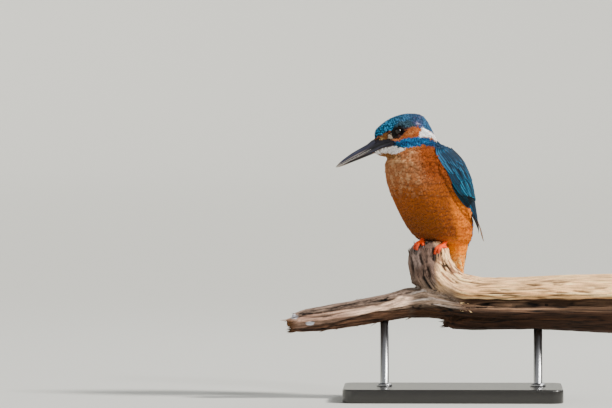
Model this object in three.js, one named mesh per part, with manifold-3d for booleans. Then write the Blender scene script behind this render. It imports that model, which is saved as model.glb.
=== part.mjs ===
// A life-size common kingfisher, Alcedo atthis, standing still on the broken stub of a driftwood
// branch. Two rods hold the branch over a flat base.
// Units are millimetres and degrees. +Z is up and the origin is the middle of the base's underside.
// The bill points towards -X, and the breast is turned towards -Y.

import * as THREE from "three";
import { LoftGeometry } from "three/addons/geometries/LoftGeometry.js";
import { mergeVertices } from "three/addons/utils/BufferGeometryUtils.js";
import Module from "manifold-3d";

const wasm = await Module();
wasm.setup();

// --- Driving dimensions ---

const gap = 0.35; // air between pieces that touch
const bodyTurn = 47; // the trunk's heading, from -X towards -Y
const billDip = 27.6; // the bill's slope below level
const bodyPlace = new THREE.Vector3(-18.5, 0, 0); // where the trunk's own axes start
const headSide = -8; // Y of the head's plane of symmetry
const eyeRadius = 3.3;
const billTip = new THREE.Vector3(-85.2, headSide, 170);

const headCut = { x: -52, z: 176.8, tilt: 18.3 }; // under the chin, up to the nape
const neckCut = { x: -50.3, z: 169.5, tilt: 13.5 }; // over the breast, up to the mantle
const tailCut = { x: 0, z: 107, tilt: 0 }; // under the vent

const base = { length: 160, depth: 92, height: 10, corner: 9, chamfer: 1.2 };
const rod = { radius: 3.2, places: [-50, 62], inBase: 6, tops: [63.5, 59], roundness: 16 };

// --- Small tools ---

// A smooth line through a table's rows, [place, value, value ...], that never overshoots them.
function through(rows) {
  const last = rows.length - 1;
  const slope = (i, k) => (rows[i + 1][k] - rows[i][k]) / (rows[i + 1][0] - rows[i][0]);
  const lean = (i, k) => {
    if (i === 0) return slope(0, k);
    if (i === last) return slope(last - 1, k);
    const before = slope(i - 1, k);
    const after = slope(i, k);
    return before * after <= 0 ? 0 : (2 * before * after) / (before + after);
  };
  return (place) => {
    const at = THREE.MathUtils.clamp(place, rows[0][0], rows[last][0]);
    const i = Math.min(rows.findLastIndex((row) => row[0] <= at), last - 1);
    const span = rows[i + 1][0] - rows[i][0];
    const t = (at - rows[i][0]) / span;
    const rise = t * t * (3 - 2 * t);
    const leave = span * t * (1 - t) * (1 - t);
    const arrive = span * t * t * (t - 1);
    return rows[i].slice(1).map((value, n) => {
      const next = rows[i + 1][n + 1];
      return value + (next - value) * rise + lean(i, n + 1) * leave + lean(i + 1, n + 1) * arrive;
    });
  };
}

const spread = (from, to, steps) =>
  Array.from({ length: steps + 1 }, (_, i) => from + ((to - from) * i) / steps);

const turns = (count) => Array.from({ length: count }, (_, i) => (2 * Math.PI * i) / count);

const signedPower = (value, power) => Math.sign(value) * Math.abs(value) ** power;

const middle = (points) =>
  points.reduce((sum, point) => sum.add(point), new THREE.Vector3()).divideScalar(points.length);

// A closed skin over sections, which are turned round where they would run clockwise.
function loft(sections) {
  const [first, second] = sections;
  const centre = middle(first);
  const way = middle(second).sub(centre);
  const facing = new THREE.Vector3();
  first.forEach((point, i) => {
    const next = first[(i + 1) % first.length];
    facing.add(point.clone().sub(centre).cross(next.clone().sub(centre)));
  });
  const rings = facing.dot(way) < 0 ? sections.map((ring) => [...ring].reverse()) : sections;
  return new LoftGeometry(rings, { capStart: true, capEnd: true });
}

function solid(geometry) {
  const plain = new THREE.BufferGeometry();
  plain.setAttribute("position", geometry.getAttribute("position"));
  plain.setIndex(geometry.getIndex());
  const merged = mergeVertices(plain, 1e-4);
  return new wasm.Manifold(
    new wasm.Mesh({
      numProp: 3,
      vertProperties: merged.getAttribute("position").array,
      triVerts: new Uint32Array(merged.getIndex().array),
    }),
  );
}

function geometryOf(body) {
  const mesh = body.getMesh();
  const geometry = new THREE.BufferGeometry();
  geometry.setAttribute("position", new THREE.BufferAttribute(mesh.vertProperties, mesh.numProp));
  geometry.setIndex(new THREE.BufferAttribute(mesh.triVerts, 1));
  const faceted = geometry.toNonIndexed();
  faceted.computeVertexNormals();
  return faceted;
}

const join = (solids) => solids.reduce((all, next) => all.add(next));

// All that lies under a plane through a point of the XZ plane, raised by `lift`.
function under({ x, z, tilt }, lift = 0) {
  const size = 600;
  const box = new THREE.BoxGeometry(size, size, size);
  box.translate(0, 0, lift - size / 2);
  box.rotateY(THREE.MathUtils.degToRad(-tilt));
  box.translate(x, 0, z);
  return solid(box);
}

// A tube along a smooth path through rows of [x, y, z, radius].
function tube(rows, grow, sides, steps) {
  const path = new THREE.CatmullRomCurve3(rows.map(([x, y, z]) => new THREE.Vector3(x, y, z)));
  const radius = through(rows.map((row, i) => [i / (rows.length - 1), row[3]]));
  const frames = path.computeFrenetFrames(steps, false);
  const sections = spread(0, 1, steps).map((t, i) => {
    const centre = path.getPoint(t);
    const reach = radius(t)[0] + grow;
    if (i === 0) centre.addScaledVector(frames.tangents[0], -grow);
    if (i === steps) centre.addScaledVector(frames.tangents[steps], grow);
    return turns(sides).map((angle) =>
      centre
        .clone()
        .addScaledVector(frames.normals[i], reach * Math.cos(angle))
        .addScaledVector(frames.binormals[i], reach * Math.sin(angle)),
    );
  });
  return solid(loft(sections));
}

const group = new THREE.Group();

function place(name, body, color, roughness, metalness = 0) {
  const material = new THREE.MeshStandardMaterial({ color, roughness, metalness });
  const mesh = new THREE.Mesh(geometryOf(body), material);
  mesh.name = name;
  group.add(mesh);
}

// --- The trunk's own axes: forward towards the breast, left towards the left wing ---

const heading = THREE.MathUtils.degToRad(bodyTurn);
const forward = new THREE.Vector3(-Math.cos(heading), -Math.sin(heading), 0);
const left = new THREE.Vector3(Math.sin(heading), -Math.cos(heading), 0);

const inBody = (ahead, aside, height) =>
  bodyPlace
    .clone()
    .addScaledVector(forward, ahead)
    .addScaledVector(left, aside)
    .setZ(height);

// --- Trunk and tail: height, reach of the breast and belly ahead, of the back, half the width ---

const trunkLine = through([
  [88, -26.8, -29.4, 5.8],
  [89.5, -26.2, -30.2, 8],
  [94, -24.2, -31.6, 9],
  [100, -21.5, -33.2, 10.2],
  [106, -18, -34.8, 11.6],
  [111, -14, -36.4, 13.4],
  [114.6, -9, -37.8, 16],
  [116, -1, -38.4, 18.5],
  [118, 4, -39, 20.3],
  [122, 8.6, -39.2, 22.6],
  [130, 15.2, -38.6, 25.4],
  [140, 22, -36.2, 26.6],
  [150, 28.6, -33.8, 27.4],
  [160, 33.2, -30.8, 27.6],
  [168, 34.9, -27.4, 26.8],
  [175, 34.8, -23, 25.2],
  [181, 31.8, -16.4, 21.4],
  [186, 27.2, -8.6, 16.6],
  [190, 24, -3.4, 13],
  [194, 20, 2, 9],
]);

const trunkHeights = [
  ...[88, 89.5, 92, 97, 102, 107.2, 111, 114.4, 115.4, 116.4, 118.4, 122, 127.5, 134],
  ...[142, 151, 160, 168, 174.5, 180, 184.5, 188.5, 193],
];

// A point of the trunk's side: angle 0 is the breast's middle and 90 the left side.
function trunkPoint(height, angle, out = 0) {
  const [front, back, halfWidth] = trunkLine(height);
  const turn = THREE.MathUtils.degToRad(angle);
  const depth = (front - back) / 2;
  const normal = new THREE.Vector2(Math.cos(turn) / depth, Math.sin(turn) / halfWidth).normalize();
  return inBody(
    (front + back) / 2 + depth * Math.cos(turn) + out * normal.x,
    halfWidth * Math.sin(turn) + out * normal.y,
    height,
  );
}

function trunkShape(grow = 0) {
  const around = turns(28).map(THREE.MathUtils.radToDeg);
  const [lowest, highest] = [trunkHeights[0], trunkHeights.at(-1)];
  return solid(
    loft(
      trunkHeights.map((height) => {
        const ends = height === lowest ? -grow : height === highest ? grow : 0;
        return around.map((angle) => trunkPoint(height, angle, grow).setZ(height + ends));
      }),
    ),
  );
}

// --- Head: X, crown, throat, level of the widest line, half the width ---

const headLine = through([
  [-57.2, 195.6, 181.6, 189.5, 4.2],
  [-56.2, 198, 179.4, 190, 5.6],
  [-53.6, 200.7, 178, 190.5, 7.2],
  [-50, 203.6, 177.2, 191, 9],
  [-45, 206.5, 176.4, 191.4, 11.4],
  [-40, 208.4, 175.4, 191.4, 13.2],
  [-33, 209.7, 174.4, 191, 14.6],
  [-26, 209.4, 174, 190.5, 15],
  [-21.5, 207.6, 174, 190, 14.6],
  [-18, 203.2, 174, 189, 13.4],
  [-14.5, 196.4, 174.5, 187, 11],
  [-11.2, 190, 175.5, 184, 7],
]);

const headPlaces = [
  ...[-57.2, -56.2, -54, -51, -47.5, -43.6, -39.4, -35, -30.5, -26, -22.4, -19.2, -16.6],
  ...[-14, -11.2],
];

// The groove that runs from the bill's root back to the corner of the mouth.
const mouthGroove = through([
  [-57, 185.6, 0.05],
  [-51, 187, 0.16],
  [-45.5, 187.4, 0.2],
  [-40, 187.4, 0],
]);

function headShape(grow = 0) {
  const squareness = 2.15;
  const grooveReach = 3.2;
  return solid(
    loft(
      headPlaces.map((x, i) => {
        const [crown, throat, widest, halfWidth] = headLine(x);
        const [grooveLevel, grooveDepth] = mouthGroove(x);
        const ends = i === 0 ? -grow : i === headPlaces.length - 1 ? grow : 0;
        return turns(24).map((turn) => {
          const up = signedPower(Math.cos(turn), 2 / squareness);
          const aside = signedPower(Math.sin(turn), 2 / squareness);
          const z = widest + up * ((up > 0 ? crown - widest : widest - throat) + grow);
          const groove = grooveDepth * Math.exp(-(((z - grooveLevel) / grooveReach) ** 2));
          const y = headSide + aside * (halfWidth * (1 - groove) + grow);
          return new THREE.Vector3(x + ends, y, z);
        });
      }),
    ),
  );
}

// --- Bill: distance from the tip, culmen, mouth line, keel, half the width ---

const billLine = through([
  [0, 0.35, 0, -0.3, 0.35],
  [2.5, 1.45, 0, -1, 1],
  [6, 2.35, 0, -1.6, 1.6],
  [11, 3.25, -0.05, -2.1, 2.3],
  [16, 3.85, -0.15, -2.7, 2.95],
  [22, 4.1, -0.2, -3.3, 3.6],
  [28, 4.4, -0.2, -3.9, 4.4],
  [32.5, 5.3, -0.25, -4.25, 5.2],
  [35, 5.2, -0.4, -4.4, 5.8],
  [38, 2.4, -0.8, -4.6, 6.8],
  [41, 1, -1.4, -4.7, 7.8],
  [44.5, -0.6, -2.2, -4.6, 8.8],
]);

const billPlaces = [0, 2.5, 6.5, 12, 18, 25, 32, 35, 38, 41, 44.5];

const dip = THREE.MathUtils.degToRad(billDip);
const inBill = (along, aside, up) =>
  new THREE.Vector3(
    billTip.x + along * Math.cos(dip) - up * Math.sin(dip),
    billTip.y + aside,
    billTip.z + along * Math.sin(dip) + up * Math.cos(dip),
  );

// One mandible: a vault over the mouth line, or a trough under it.
function mandible(upper, grow = 0) {
  const side = upper ? 1 : -1;
  const fullness = upper ? 1.75 : 1.9;
  const thinnest = 0.25;
  const half = gap / 2;
  const count = grow ? 7 : 11;
  return solid(
    loft(
      billPlaces.map((along, i) => {
        const [culmen, mouth, keel, halfWidth] = billLine(along);
        const height = Math.max(thinnest, (upper ? culmen - mouth : mouth - keel) - half);
        const ends = i === 0 ? -grow : i === billPlaces.length - 1 ? grow : 0;
        const ring = spread(0, Math.PI, count).map((turn) => {
          const up = signedPower(Math.sin(turn), 2 / fullness) * (height + grow);
          const aside = signedPower(Math.cos(turn), 2 / fullness) * (halfWidth + grow);
          return inBill(along + ends, aside, mouth + side * (half + up));
        });
        const floor = mouth + (grow ? 0 : side * half);
        ring[0] = inBill(along + ends, halfWidth + grow, floor);
        ring[count] = inBill(along + ends, -(halfWidth + grow), floor);
        return ring;
      }),
    ),
  );
}

// --- Eyes ---

const eyePlace = { x: -39.4, z: 196.4, aside: 10.1 };
const dish = { radius: 8, lift: 2 };
const eyeCentre = (side) =>
  new THREE.Vector3(eyePlace.x, headSide + side * eyePlace.aside, eyePlace.z);

function ball(centre, radius, across = 12, down = 9) {
  const sphere = new THREE.SphereGeometry(radius, across, down);
  sphere.translate(centre.x, centre.y, centre.z);
  return solid(sphere);
}

// The shallow dish in the feathers that the eye looks out of.
function eyeDish(side) {
  const aside = eyePlace.aside + dish.lift + dish.radius;
  return ball(eyeCentre(side).setY(headSide + side * aside), dish.radius, 12, 12);
}

// --- Wings: height, front edge and back edge as angles, lift off the trunk, thickness ---

const wingLine = through([
  [0, 187, 98, 122, -1, 1],
  [0.05, 185, 84, 134, -1, 1.5],
  [0.16, 179, 71, 147, -1, 2.2],
  [0.32, 168, 73, 155, -1, 2.6],
  [0.48, 156, 79, 158, -1, 2.8],
  [0.62, 145, 86, 159, -0.7, 2.6],
  [0.74, 136, 98, 157.5, 0.5, 2.2],
  [0.85, 128.5, 113, 155.5, 1.8, 1.7],
  [0.94, 121.5, 129, 154, 3.1, 1.2],
  [1, 116.5, 143, 151, 4, 0.8],
]);

function wingShape(side) {
  const across = 7;
  const edge = 0.75;
  const sections = spread(0, 1, 12).map((t) => {
    const [height, front, back, lift, thick] = wingLine(t);
    const angles = spread(front, back, across);
    const outer = angles.map((angle, i) => {
      const swell = Math.sin((Math.PI * i) / across) ** 0.6;
      const out = Math.max(gap, lift) + edge + (thick - edge) * swell;
      return trunkPoint(height, side * angle, out);
    });
    const inner = angles.map((angle) => trunkPoint(height, side * angle, lift));
    return [...outer, ...inner.reverse()];
  });
  return solid(loft(sections));
}

// --- Legs and feet: the ankle over the wood, the way the toes point and where the leg comes out ---

const feet = {
  left: { ankle: [-7.4, -4.4, 112.8], toesTurn: 54, knee: [-3.4, -1.2, 118.4], side: 1 },
  right: { ankle: [-22.4, -1.4, 115.8], toesTurn: 60, knee: [-20.8, 1.6, 121.4], side: -1 },
};

// Each toe's turn from the foot's way, and rows of [distance, drop, radius] out to the claw's root.
const toes = {
  inner: { turn: -34, rows: [[0, 0.2, 1.2], [3, 0.5, 1.15], [5.6, 1, 1], [7.4, 2.6, 0.85]] },
  middle: {
    turn: -3,
    rows: [[0, 0.2, 1.3], [4, 0.6, 1.3], [7.2, 1.8, 1.15], [8.8, 4, 1], [9.2, 6, 0.85]],
  },
  outer: {
    turn: 13,
    rows: [[0, 0.2, 1.3], [3.8, 0.6, 1.25], [6.8, 1.9, 1.1], [8, 3.8, 0.95], [8.3, 5.4, 0.8]],
  },
  back: { turn: 180, rows: [[0, 0.2, 1.2], [2.4, 0.6, 1.15], [4.4, 1.9, 0.85]] },
};

function toePath(foot, toe) {
  const turn = THREE.MathUtils.degToRad(foot.toesTurn + foot.side * toe.turn);
  const way = new THREE.Vector3(-Math.cos(turn), -Math.sin(turn), 0);
  return toe.rows.map(([distance, drop, radius]) => [
    foot.ankle[0] + way.x * distance,
    foot.ankle[1] + way.y * distance,
    foot.ankle[2] - drop,
    radius,
  ]);
}

function legShape(foot, grow = 0) {
  const ankle = new THREE.Vector3(...foot.ankle);
  const knee = new THREE.Vector3(...foot.knee);
  const halfway = knee.clone().lerp(ankle, 0.5);
  const [kneeRadius, shankRadius, ankleRadius, ballRadius] = [1.35, 1.25, 1.6, 1.9];
  const shankRows = [
    [...knee, kneeRadius],
    [...halfway, shankRadius],
    [...ankle, ankleRadius],
  ];
  const parts = Object.values(toes).map((toe) =>
    tube(toePath(foot, toe), grow, 6, toe.rows.length),
  );
  return join([tube(shankRows, grow, 7, 2), ball(ankle, ballRadius + grow, 8, 6), ...parts]);
}

// A claw's distance from its toe, its drop and its radius.
const clawLine = [[0.4, 0, 0.7], [1.3, 0.15, 0.56], [2.2, 0.6, 0.36], [2.9, 1.4, 0.12]];

// A claw carries on from its toe, and curves down to a point.
function clawShape(foot, toe, grow = 0) {
  const path = toePath(foot, toe);
  const [root, before] = [path.at(-1), path.at(-2)];
  const start = new THREE.Vector3(...root.slice(0, 3));
  const way = start.clone().sub(new THREE.Vector3(...before.slice(0, 3))).normalize();
  const inward = -0.25;
  const down = new THREE.Vector3(inward * way.x, inward * way.y, -1).normalize();
  const rows = clawLine.map(([along, drop, radius]) => {
    const point = start.clone().addScaledVector(way, along).addScaledVector(down, drop);
    return [...point, radius];
  });
  return tube(rows, grow, 5, 4);
}

// --- Perch: strands of wood that run together, as rows of [x, y, z, half height, half depth] ---

const strands = {
  topSplinter: {
    rows: [
      [-117, -1, 60.6, 2.2, 4.5], [-105, -1, 62.4, 4.6, 7.4], [-90, -1, 64.4, 5.3, 8.6],
      [-60, -1, 69.4, 5.6, 9.4], [-40, -1.5, 73.4, 6.2, 10.4], [-23, -2.5, 76.8, 7.8, 12.4],
      [-6, -3.5, 71.6, 6.8, 13.4], [12, -3.5, 66, 5, 12],
    ],
    ridges: 5,
  },
  middleSplinter: {
    rows: [
      [-121, -4, 56.4, 2.6, 3.5], [-112, -4, 57.4, 4.3, 6.2], [-90, -4, 59.4, 4.9, 7.6],
      [-60, -4, 64.4, 5.1, 8.4], [-40, -5, 68.4, 5.2, 9.6], [-22, -6, 71.4, 6, 11.4],
      [0, -7, 67.4, 5.6, 12.6], [25, -7, 65, 5.4, 13.6], [70, -6, 65, 5.8, 14.6], [120, -5, 65, 6, 15],
    ],
    ridges: 4,
  },
  lowSplinter: {
    rows: [
      [-118.5, -1, 52.4, 2.8, 4.5], [-108, -1, 53.4, 4.1, 6.4], [-90, -1, 55.2, 4.6, 7.6],
      [-60, -1, 60.4, 4.9, 8.6], [-40, -1, 64.2, 4.8, 9.6], [-20, -1, 65.6, 5.3, 10.6],
      [0, -1, 64, 5.4, 11.6],
    ],
    ridges: 5,
  },
  underside: {
    rows: [
      [-6, 1, 57.2, 3.4, 8], [2, 1, 57.4, 5.9, 12], [20, 1, 58.4, 7.4, 15],
      [50, 1, 59, 7.6, 16], [80, 1, 58.8, 8.6, 16.6], [120, 1, 58.2, 10, 17],
    ],
    ridges: 6,
  },
  stubAndArm: {
    rows: [
      [-18.9, -3.2, 115.4, 8.6, 5], [-18.6, -1.2, 112, 13.6, 8.8], [-18, 0, 107, 15.3, 11.2],
      [-17.2, 0, 99, 15.9, 13], [-12.8, 0, 89.6, 17.2, 15.6], [-1, 1, 81.6, 14.4, 18],
      [14, 1.5, 78.4, 12.4, 19.4], [40, 1.5, 77.4, 12.8, 20], [80, 1.5, 78, 14, 20.4],
      [120, 1.5, 78.4, 14.2, 20.6],
    ],
    ridges: 7,
  },
};

// A strand's sections stand square to its run in the XZ plane. Ridges follow the grain.
function strandShape({ rows, ridges }) {
  const sides = 8;
  const steps = rows.length;
  const ridgeHeight = 0.045;
  const ridgeDrift = 4; // how far the ridges turn round the strand over its length, in radians
  const path = new THREE.CatmullRomCurve3(
    rows.map(([x, y, z]) => new THREE.Vector3(x, y, z)),
    false,
    "centripetal",
  );
  const size = through(rows.map((row, i) => [i / (rows.length - 1), row[3], row[4]]));
  const sections = spread(0, 1, steps).map((t) => {
    const centre = path.getPoint(t);
    const run = path.getTangent(t);
    const up = new THREE.Vector3(-run.z, 0, run.x).normalize();
    const [halfHeight, halfDepth] = size(t);
    return turns(sides).map((turn) => {
      const ridge = 1 + ridgeHeight * Math.cos(ridges * turn + ridgeDrift * t);
      return centre
        .clone()
        .addScaledVector(up, halfHeight * ridge * Math.cos(turn))
        .add(new THREE.Vector3(0, -halfDepth * ridge * Math.sin(turn), 0));
    });
  });
  return solid(loft(sections));
}

// Upright splinters on the rim of the broken stub: [x, y, height of the tip, thickness, lean in X].
const splinters = [
  [-29.6, -2.6, 112.6, 2, -1.2], [-26, -6.6, 113.4, 1.6, -0.5], [-19.6, -7.6, 116.4, 2.4, -0.6],
  [-14.6, -8.2, 115.2, 1.9, 0.5], [-5.4, -1.6, 112, 2, 1.4],
];

function splinterShape([x, y, tip, thickness, lean]) {
  const [rooted, rootThickness, point] = [104, 1.4 * thickness, 0.35];
  const rows = [
    [x - lean, y + 1, rooted, rootThickness],
    [x - lean / 2, y + 0.3, (rooted + tip) / 2, thickness],
    [x, y, tip, point],
  ];
  return tube(rows, 0, 4, 2);
}

// --- Stand ---

function rodShape(x, from, to, grow = 0) {
  const cylinder = new THREE.CylinderGeometry(
    rod.radius + grow,
    rod.radius + grow,
    to - from,
    rod.roundness,
  );
  cylinder.rotateX(Math.PI / 2);
  cylinder.translate(x, 0, (from + to) / 2);
  return solid(cylinder);
}

function baseShape() {
  const { length, depth, height, corner, chamfer } = base;
  const [x, y] = [length / 2 - chamfer, depth / 2 - chamfer];
  const outline = new THREE.Shape();
  outline.moveTo(-x + corner, -y);
  outline.lineTo(x - corner, -y);
  outline.absarc(x - corner, -y + corner, corner, -Math.PI / 2, 0);
  outline.absarc(x - corner, y - corner, corner, 0, Math.PI / 2);
  outline.absarc(-x + corner, y - corner, corner, Math.PI / 2, Math.PI);
  outline.absarc(-x + corner, -y + corner, corner, Math.PI, 1.5 * Math.PI);
  const slab = new THREE.ExtrudeGeometry(outline, {
    depth: height - 2 * chamfer,
    bevelThickness: chamfer,
    bevelSize: chamfer,
    bevelSegments: 1,
    curveSegments: 3,
  });
  slab.translate(0, 0, chamfer);
  return solid(slab);
}

// --- Assembly: the flesh is shaped whole, then parted with thin cuts ---

const upperBill = mandible(true);
const lowerBill = mandible(false);
const bothEyes = [-1, 1].map((side) => ball(eyeCentre(side), eyeRadius));
const flesh = trunkShape().add(headShape());
const fleshWithAir = trunkShape(gap).add(headShape(gap));
const eyeRoom = join(
  [-1, 1].flatMap((side) => [ball(eyeCentre(side), eyeRadius + gap), eyeDish(side)]),
);
const billRoom = mandible(true, gap).add(mandible(false, gap));

const head = flesh.subtract(under(headCut, gap / 2)).subtract(billRoom).subtract(eyeRoom);
const neck = flesh.intersect(under(headCut, -gap / 2)).subtract(under(neckCut, gap / 2));
const trunk = flesh.intersect(under(neckCut, -gap / 2)).subtract(under(tailCut, gap / 2));
const tail = flesh.intersect(under(tailCut, -gap / 2));

place("head", head, "#2a6f8e", 0.7);
place("neck", neck, "#f1ece6", 0.8);
place("trunk", trunk, "#b8641c", 0.8);
place("tail", tail, "#2c5f95", 0.7);
place("bill_upper", upperBill, "#4a4450", 0.35);
place("bill_lower", lowerBill, "#574c50", 0.35);
place("eye_left", bothEyes[0], "#120d0b", 0.08);
place("eye_right", bothEyes[1], "#120d0b", 0.08);

const legs = {};
const feetWithAir = [];
for (const [side, foot] of Object.entries(feet)) {
  const claws = Object.fromEntries(
    Object.entries(toes).map(([toe, shape]) => [toe, clawShape(foot, shape)]),
  );
  const clawsWithAir = Object.values(toes).map((toe) => clawShape(foot, toe, gap));
  legs[side] = legShape(foot).subtract(join([fleshWithAir, ...clawsWithAir]));
  feetWithAir.push(legShape(foot, gap), ...clawsWithAir);
  place(`leg_${side}`, legs[side], "#ee5a2a", 0.5);
  for (const [toe, claw] of Object.entries(claws)) {
    place(`claw_${side}_${toe}`, claw, "#2a2220", 0.35);
  }
}

place("wing_left", wingShape(1).subtract(fleshWithAir), "#1f5f8c", 0.6);
place("wing_right", wingShape(-1).subtract(fleshWithAir), "#1f5f8c", 0.6);

const rodHoles = join(
  rod.places.map((x, i) => rodShape(x, base.height - rod.inBase - gap, rod.tops[i] + gap, gap)),
);
const wood = join([...Object.values(strands).map(strandShape), ...splinters.map(splinterShape)]);
const perch = wood.subtract(fleshWithAir).subtract(join(feetWithAir)).subtract(rodHoles);
place("perch", perch, "#8a7466", 0.85);
place("stand_base", baseShape().subtract(rodHoles), "#33302e", 0.5);
rod.places.forEach((x, i) => {
  const name = `stand_rod_${["left", "right"][i]}`;
  place(name, rodShape(x, base.height - rod.inBase, rod.tops[i]), "#8f9296", 0.3, 1);
});

export default group;
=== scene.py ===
import math

import bmesh
import bpy
import numpy as np
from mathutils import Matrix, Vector, noise
from mathutils.bvhtree import BVHTree
from mathutils.kdtree import KDTree


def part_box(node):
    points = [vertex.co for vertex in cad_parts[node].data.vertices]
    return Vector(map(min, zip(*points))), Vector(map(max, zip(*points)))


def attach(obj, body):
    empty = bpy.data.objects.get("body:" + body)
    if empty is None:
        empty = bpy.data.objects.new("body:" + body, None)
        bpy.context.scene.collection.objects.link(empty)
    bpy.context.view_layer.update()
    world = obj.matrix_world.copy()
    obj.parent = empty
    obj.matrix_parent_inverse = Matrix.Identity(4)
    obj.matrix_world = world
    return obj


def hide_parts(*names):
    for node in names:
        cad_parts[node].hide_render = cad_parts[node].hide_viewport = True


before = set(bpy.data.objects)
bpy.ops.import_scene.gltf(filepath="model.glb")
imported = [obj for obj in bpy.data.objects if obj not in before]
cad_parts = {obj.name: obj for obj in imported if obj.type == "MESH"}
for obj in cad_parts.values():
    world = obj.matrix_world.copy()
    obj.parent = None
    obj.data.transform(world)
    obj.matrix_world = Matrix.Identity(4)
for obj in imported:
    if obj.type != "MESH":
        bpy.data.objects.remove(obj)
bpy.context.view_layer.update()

# --- Skin ---
# One skin under all the feathers, from the bill's root to the tail. On a live bird it is thin, bare
# and loose, with the coat's roots in it. Here it is the solids' outer form, drawn in by the depth
# of the coat, and it carries the same markings as the feathers that grow from it.

MM = 0.001


def unit(vectors):
    vectors = np.asarray(vectors, float)
    return vectors / np.maximum(np.linalg.norm(vectors, axis=-1, keepdims=True), 1e-9)


def ramp(value, low, high):
    """0 below low, 1 over high and smooth between them."""
    t = np.clip((value - low) / (high - low), 0, 1)
    return t * t * (3 - 2 * t)


def read(items, field, width=1, kind=float):
    """One property of many items, as an array with a row for each."""
    values = np.empty(width * len(items), kind)
    items.foreach_get(field, values)
    return values.reshape(-1, width) if width > 1 else values


def mesh_of(bm):
    """The mesh of what was built in a bmesh, which is freed."""
    mesh = bpy.data.meshes.new("working")
    bm.to_mesh(mesh)
    bm.free()
    return mesh


def merged_copy(nodes, swell=0.0):
    """The solids of these nodes in one mesh, each closed and pushed out along its normals."""
    whole = bmesh.new()
    for node in nodes:
        part = bmesh.new()
        part.from_mesh(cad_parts[node].data)
        bmesh.ops.remove_doubles(part, verts=part.verts, dist=0.02 * MM)
        part.normal_update()
        for vertex in part.verts:
            vertex.co += vertex.normal * swell * MM
        whole.from_mesh(mesh_of(part))
    return mesh_of(whole)


def cut_back(bm, place, way):
    """Takes off all beyond a plane, at a place in millimetres and facing a way, and closes the cut."""
    everything = bm.verts[:] + bm.edges[:] + bm.faces[:]
    plane = [c * MM for c in place]
    bmesh.ops.bisect_plane(bm, geom=everything, plane_co=plane, plane_no=way, clear_outer=True)
    bmesh.ops.holes_fill(bm, edges=[e for e in bm.edges if e.is_boundary])


def surface_of(mesh):
    """A mesh's surface in millimetres, to find places on."""
    return BVHTree.FromPolygons([v.co / MM for v in mesh.vertices], [p.vertices[:] for p in mesh.polygons])


def shown(name, mesh):
    piece = bpy.data.objects.new(name, mesh)
    bpy.context.scene.collection.objects.link(piece)
    return piece


def evaluated(piece):
    """The piece's mesh with its modifiers worked in. The piece itself goes."""
    ready = piece.evaluated_get(bpy.context.evaluated_depsgraph_get())
    mesh = bpy.data.meshes.new_from_object(ready)
    bpy.data.objects.remove(piece)
    return mesh


def remeshed(mesh, voxel, rounds):
    """One closed surface of even squares round all that the mesh holds, smoothed."""
    piece = shown("working", mesh)
    remesh = piece.modifiers.new("remesh", "REMESH")
    remesh.mode = "VOXEL"
    remesh.voxel_size = voxel * MM
    smooth = piece.modifiers.new("smooth", "SMOOTH")
    smooth.factor = 0.5
    smooth.iterations = rounds
    return evaluated(piece)


# How the bird sits: its body turned towards the viewer, and its head looking to the left.
body_turn = math.radians(47)
forward = np.array([-math.cos(body_turn), -math.sin(body_turn), 0.0])
left = np.array([math.sin(body_turn), -math.cos(body_turn), 0.0])
down = np.array([0.0, 0.0, -1.0])
body_place = np.array([-18.5, 0.0, 0.0])
bill_low, bill_high = np.array(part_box("bill_upper")) / MM
head_side = (bill_low[1] + bill_high[1]) / 2
bill_root = np.array([-58.5, head_side, 187.5])
chin_slope = math.tan(math.radians(18.3))
eye_low, eye_high = np.array(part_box("eye_left")) / MM
eye_centre = (eye_low + eye_high) / 2
eye_reach = (eye_high[0] - eye_low[0]) / 2
eyes = [eye_centre, np.array([eye_centre[0], 2 * head_side - eye_centre[1], eye_centre[2]])]


def trunk_middle(height):
    """How far ahead of the body's place the middle of the trunk lies at a height."""
    heights = [88, 100, 116, 130, 150, 168, 180, 194]
    return np.interp(height, heights, [-28, -27, -19.6, -11.7, -2.6, 3.7, 7.7, 11])


flesh = ["head", "neck", "trunk", "tail"]
wings = ["wing_left", "wing_right"]
swell = 0.3  # closes the thin cuts between the solids
flesh_copy = merged_copy(flesh, swell)
wing_copy = merged_copy(wings, 0.25)
# The tips of the folded wings are feathers only, so the flesh of the wings ends above them.
bm = bmesh.new()
bm.from_mesh(wing_copy)
cut_back(bm, (0, 0, 136), (0, 0, -1))
# The bill's root fills the cleft that the horn sits in, so that the skin closes under it.
root_piece = bmesh.new()
root_piece.from_mesh(merged_copy(["bill_upper", "bill_lower"], swell))
cut_back(root_piece, (-60.5, 0, 0), (-1, 0, 0))
bm.from_mesh(mesh_of(root_piece))
bm.from_mesh(flesh_copy)
skin_mesh = remeshed(mesh_of(bm), 0.62, 10)

outer = read(skin_mesh.vertices, "co", 3) / MM
up = unit(read(skin_mesh.vertex_normals, "vector", 3))
x, y, z = outer.T
to_flesh, to_wing = (
    np.array([surface.find_nearest(p)[3] for p in outer])
    for surface in (surface_of(flesh_copy), surface_of(wing_copy))
)
wing_share = ramp(to_flesh - to_wing, -0.3, 0.9) * ramp(z, 134, 138)
head_share = ramp(z - (176.8 + (x + 52) * chin_slope), -3, 3) * (1 - wing_share)
from_bill = np.linalg.norm(outer - bill_root, axis=1)
from_eye = np.min([np.linalg.norm(outer - e, axis=1) for e in eyes], axis=0)
# Degrees round the trunk from the breast's middle, plus to the left.
off = outer - body_place
angle = np.degrees(np.arctan2(off @ left, off @ forward - trunk_middle(z)))
side = np.abs(angle)

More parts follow.
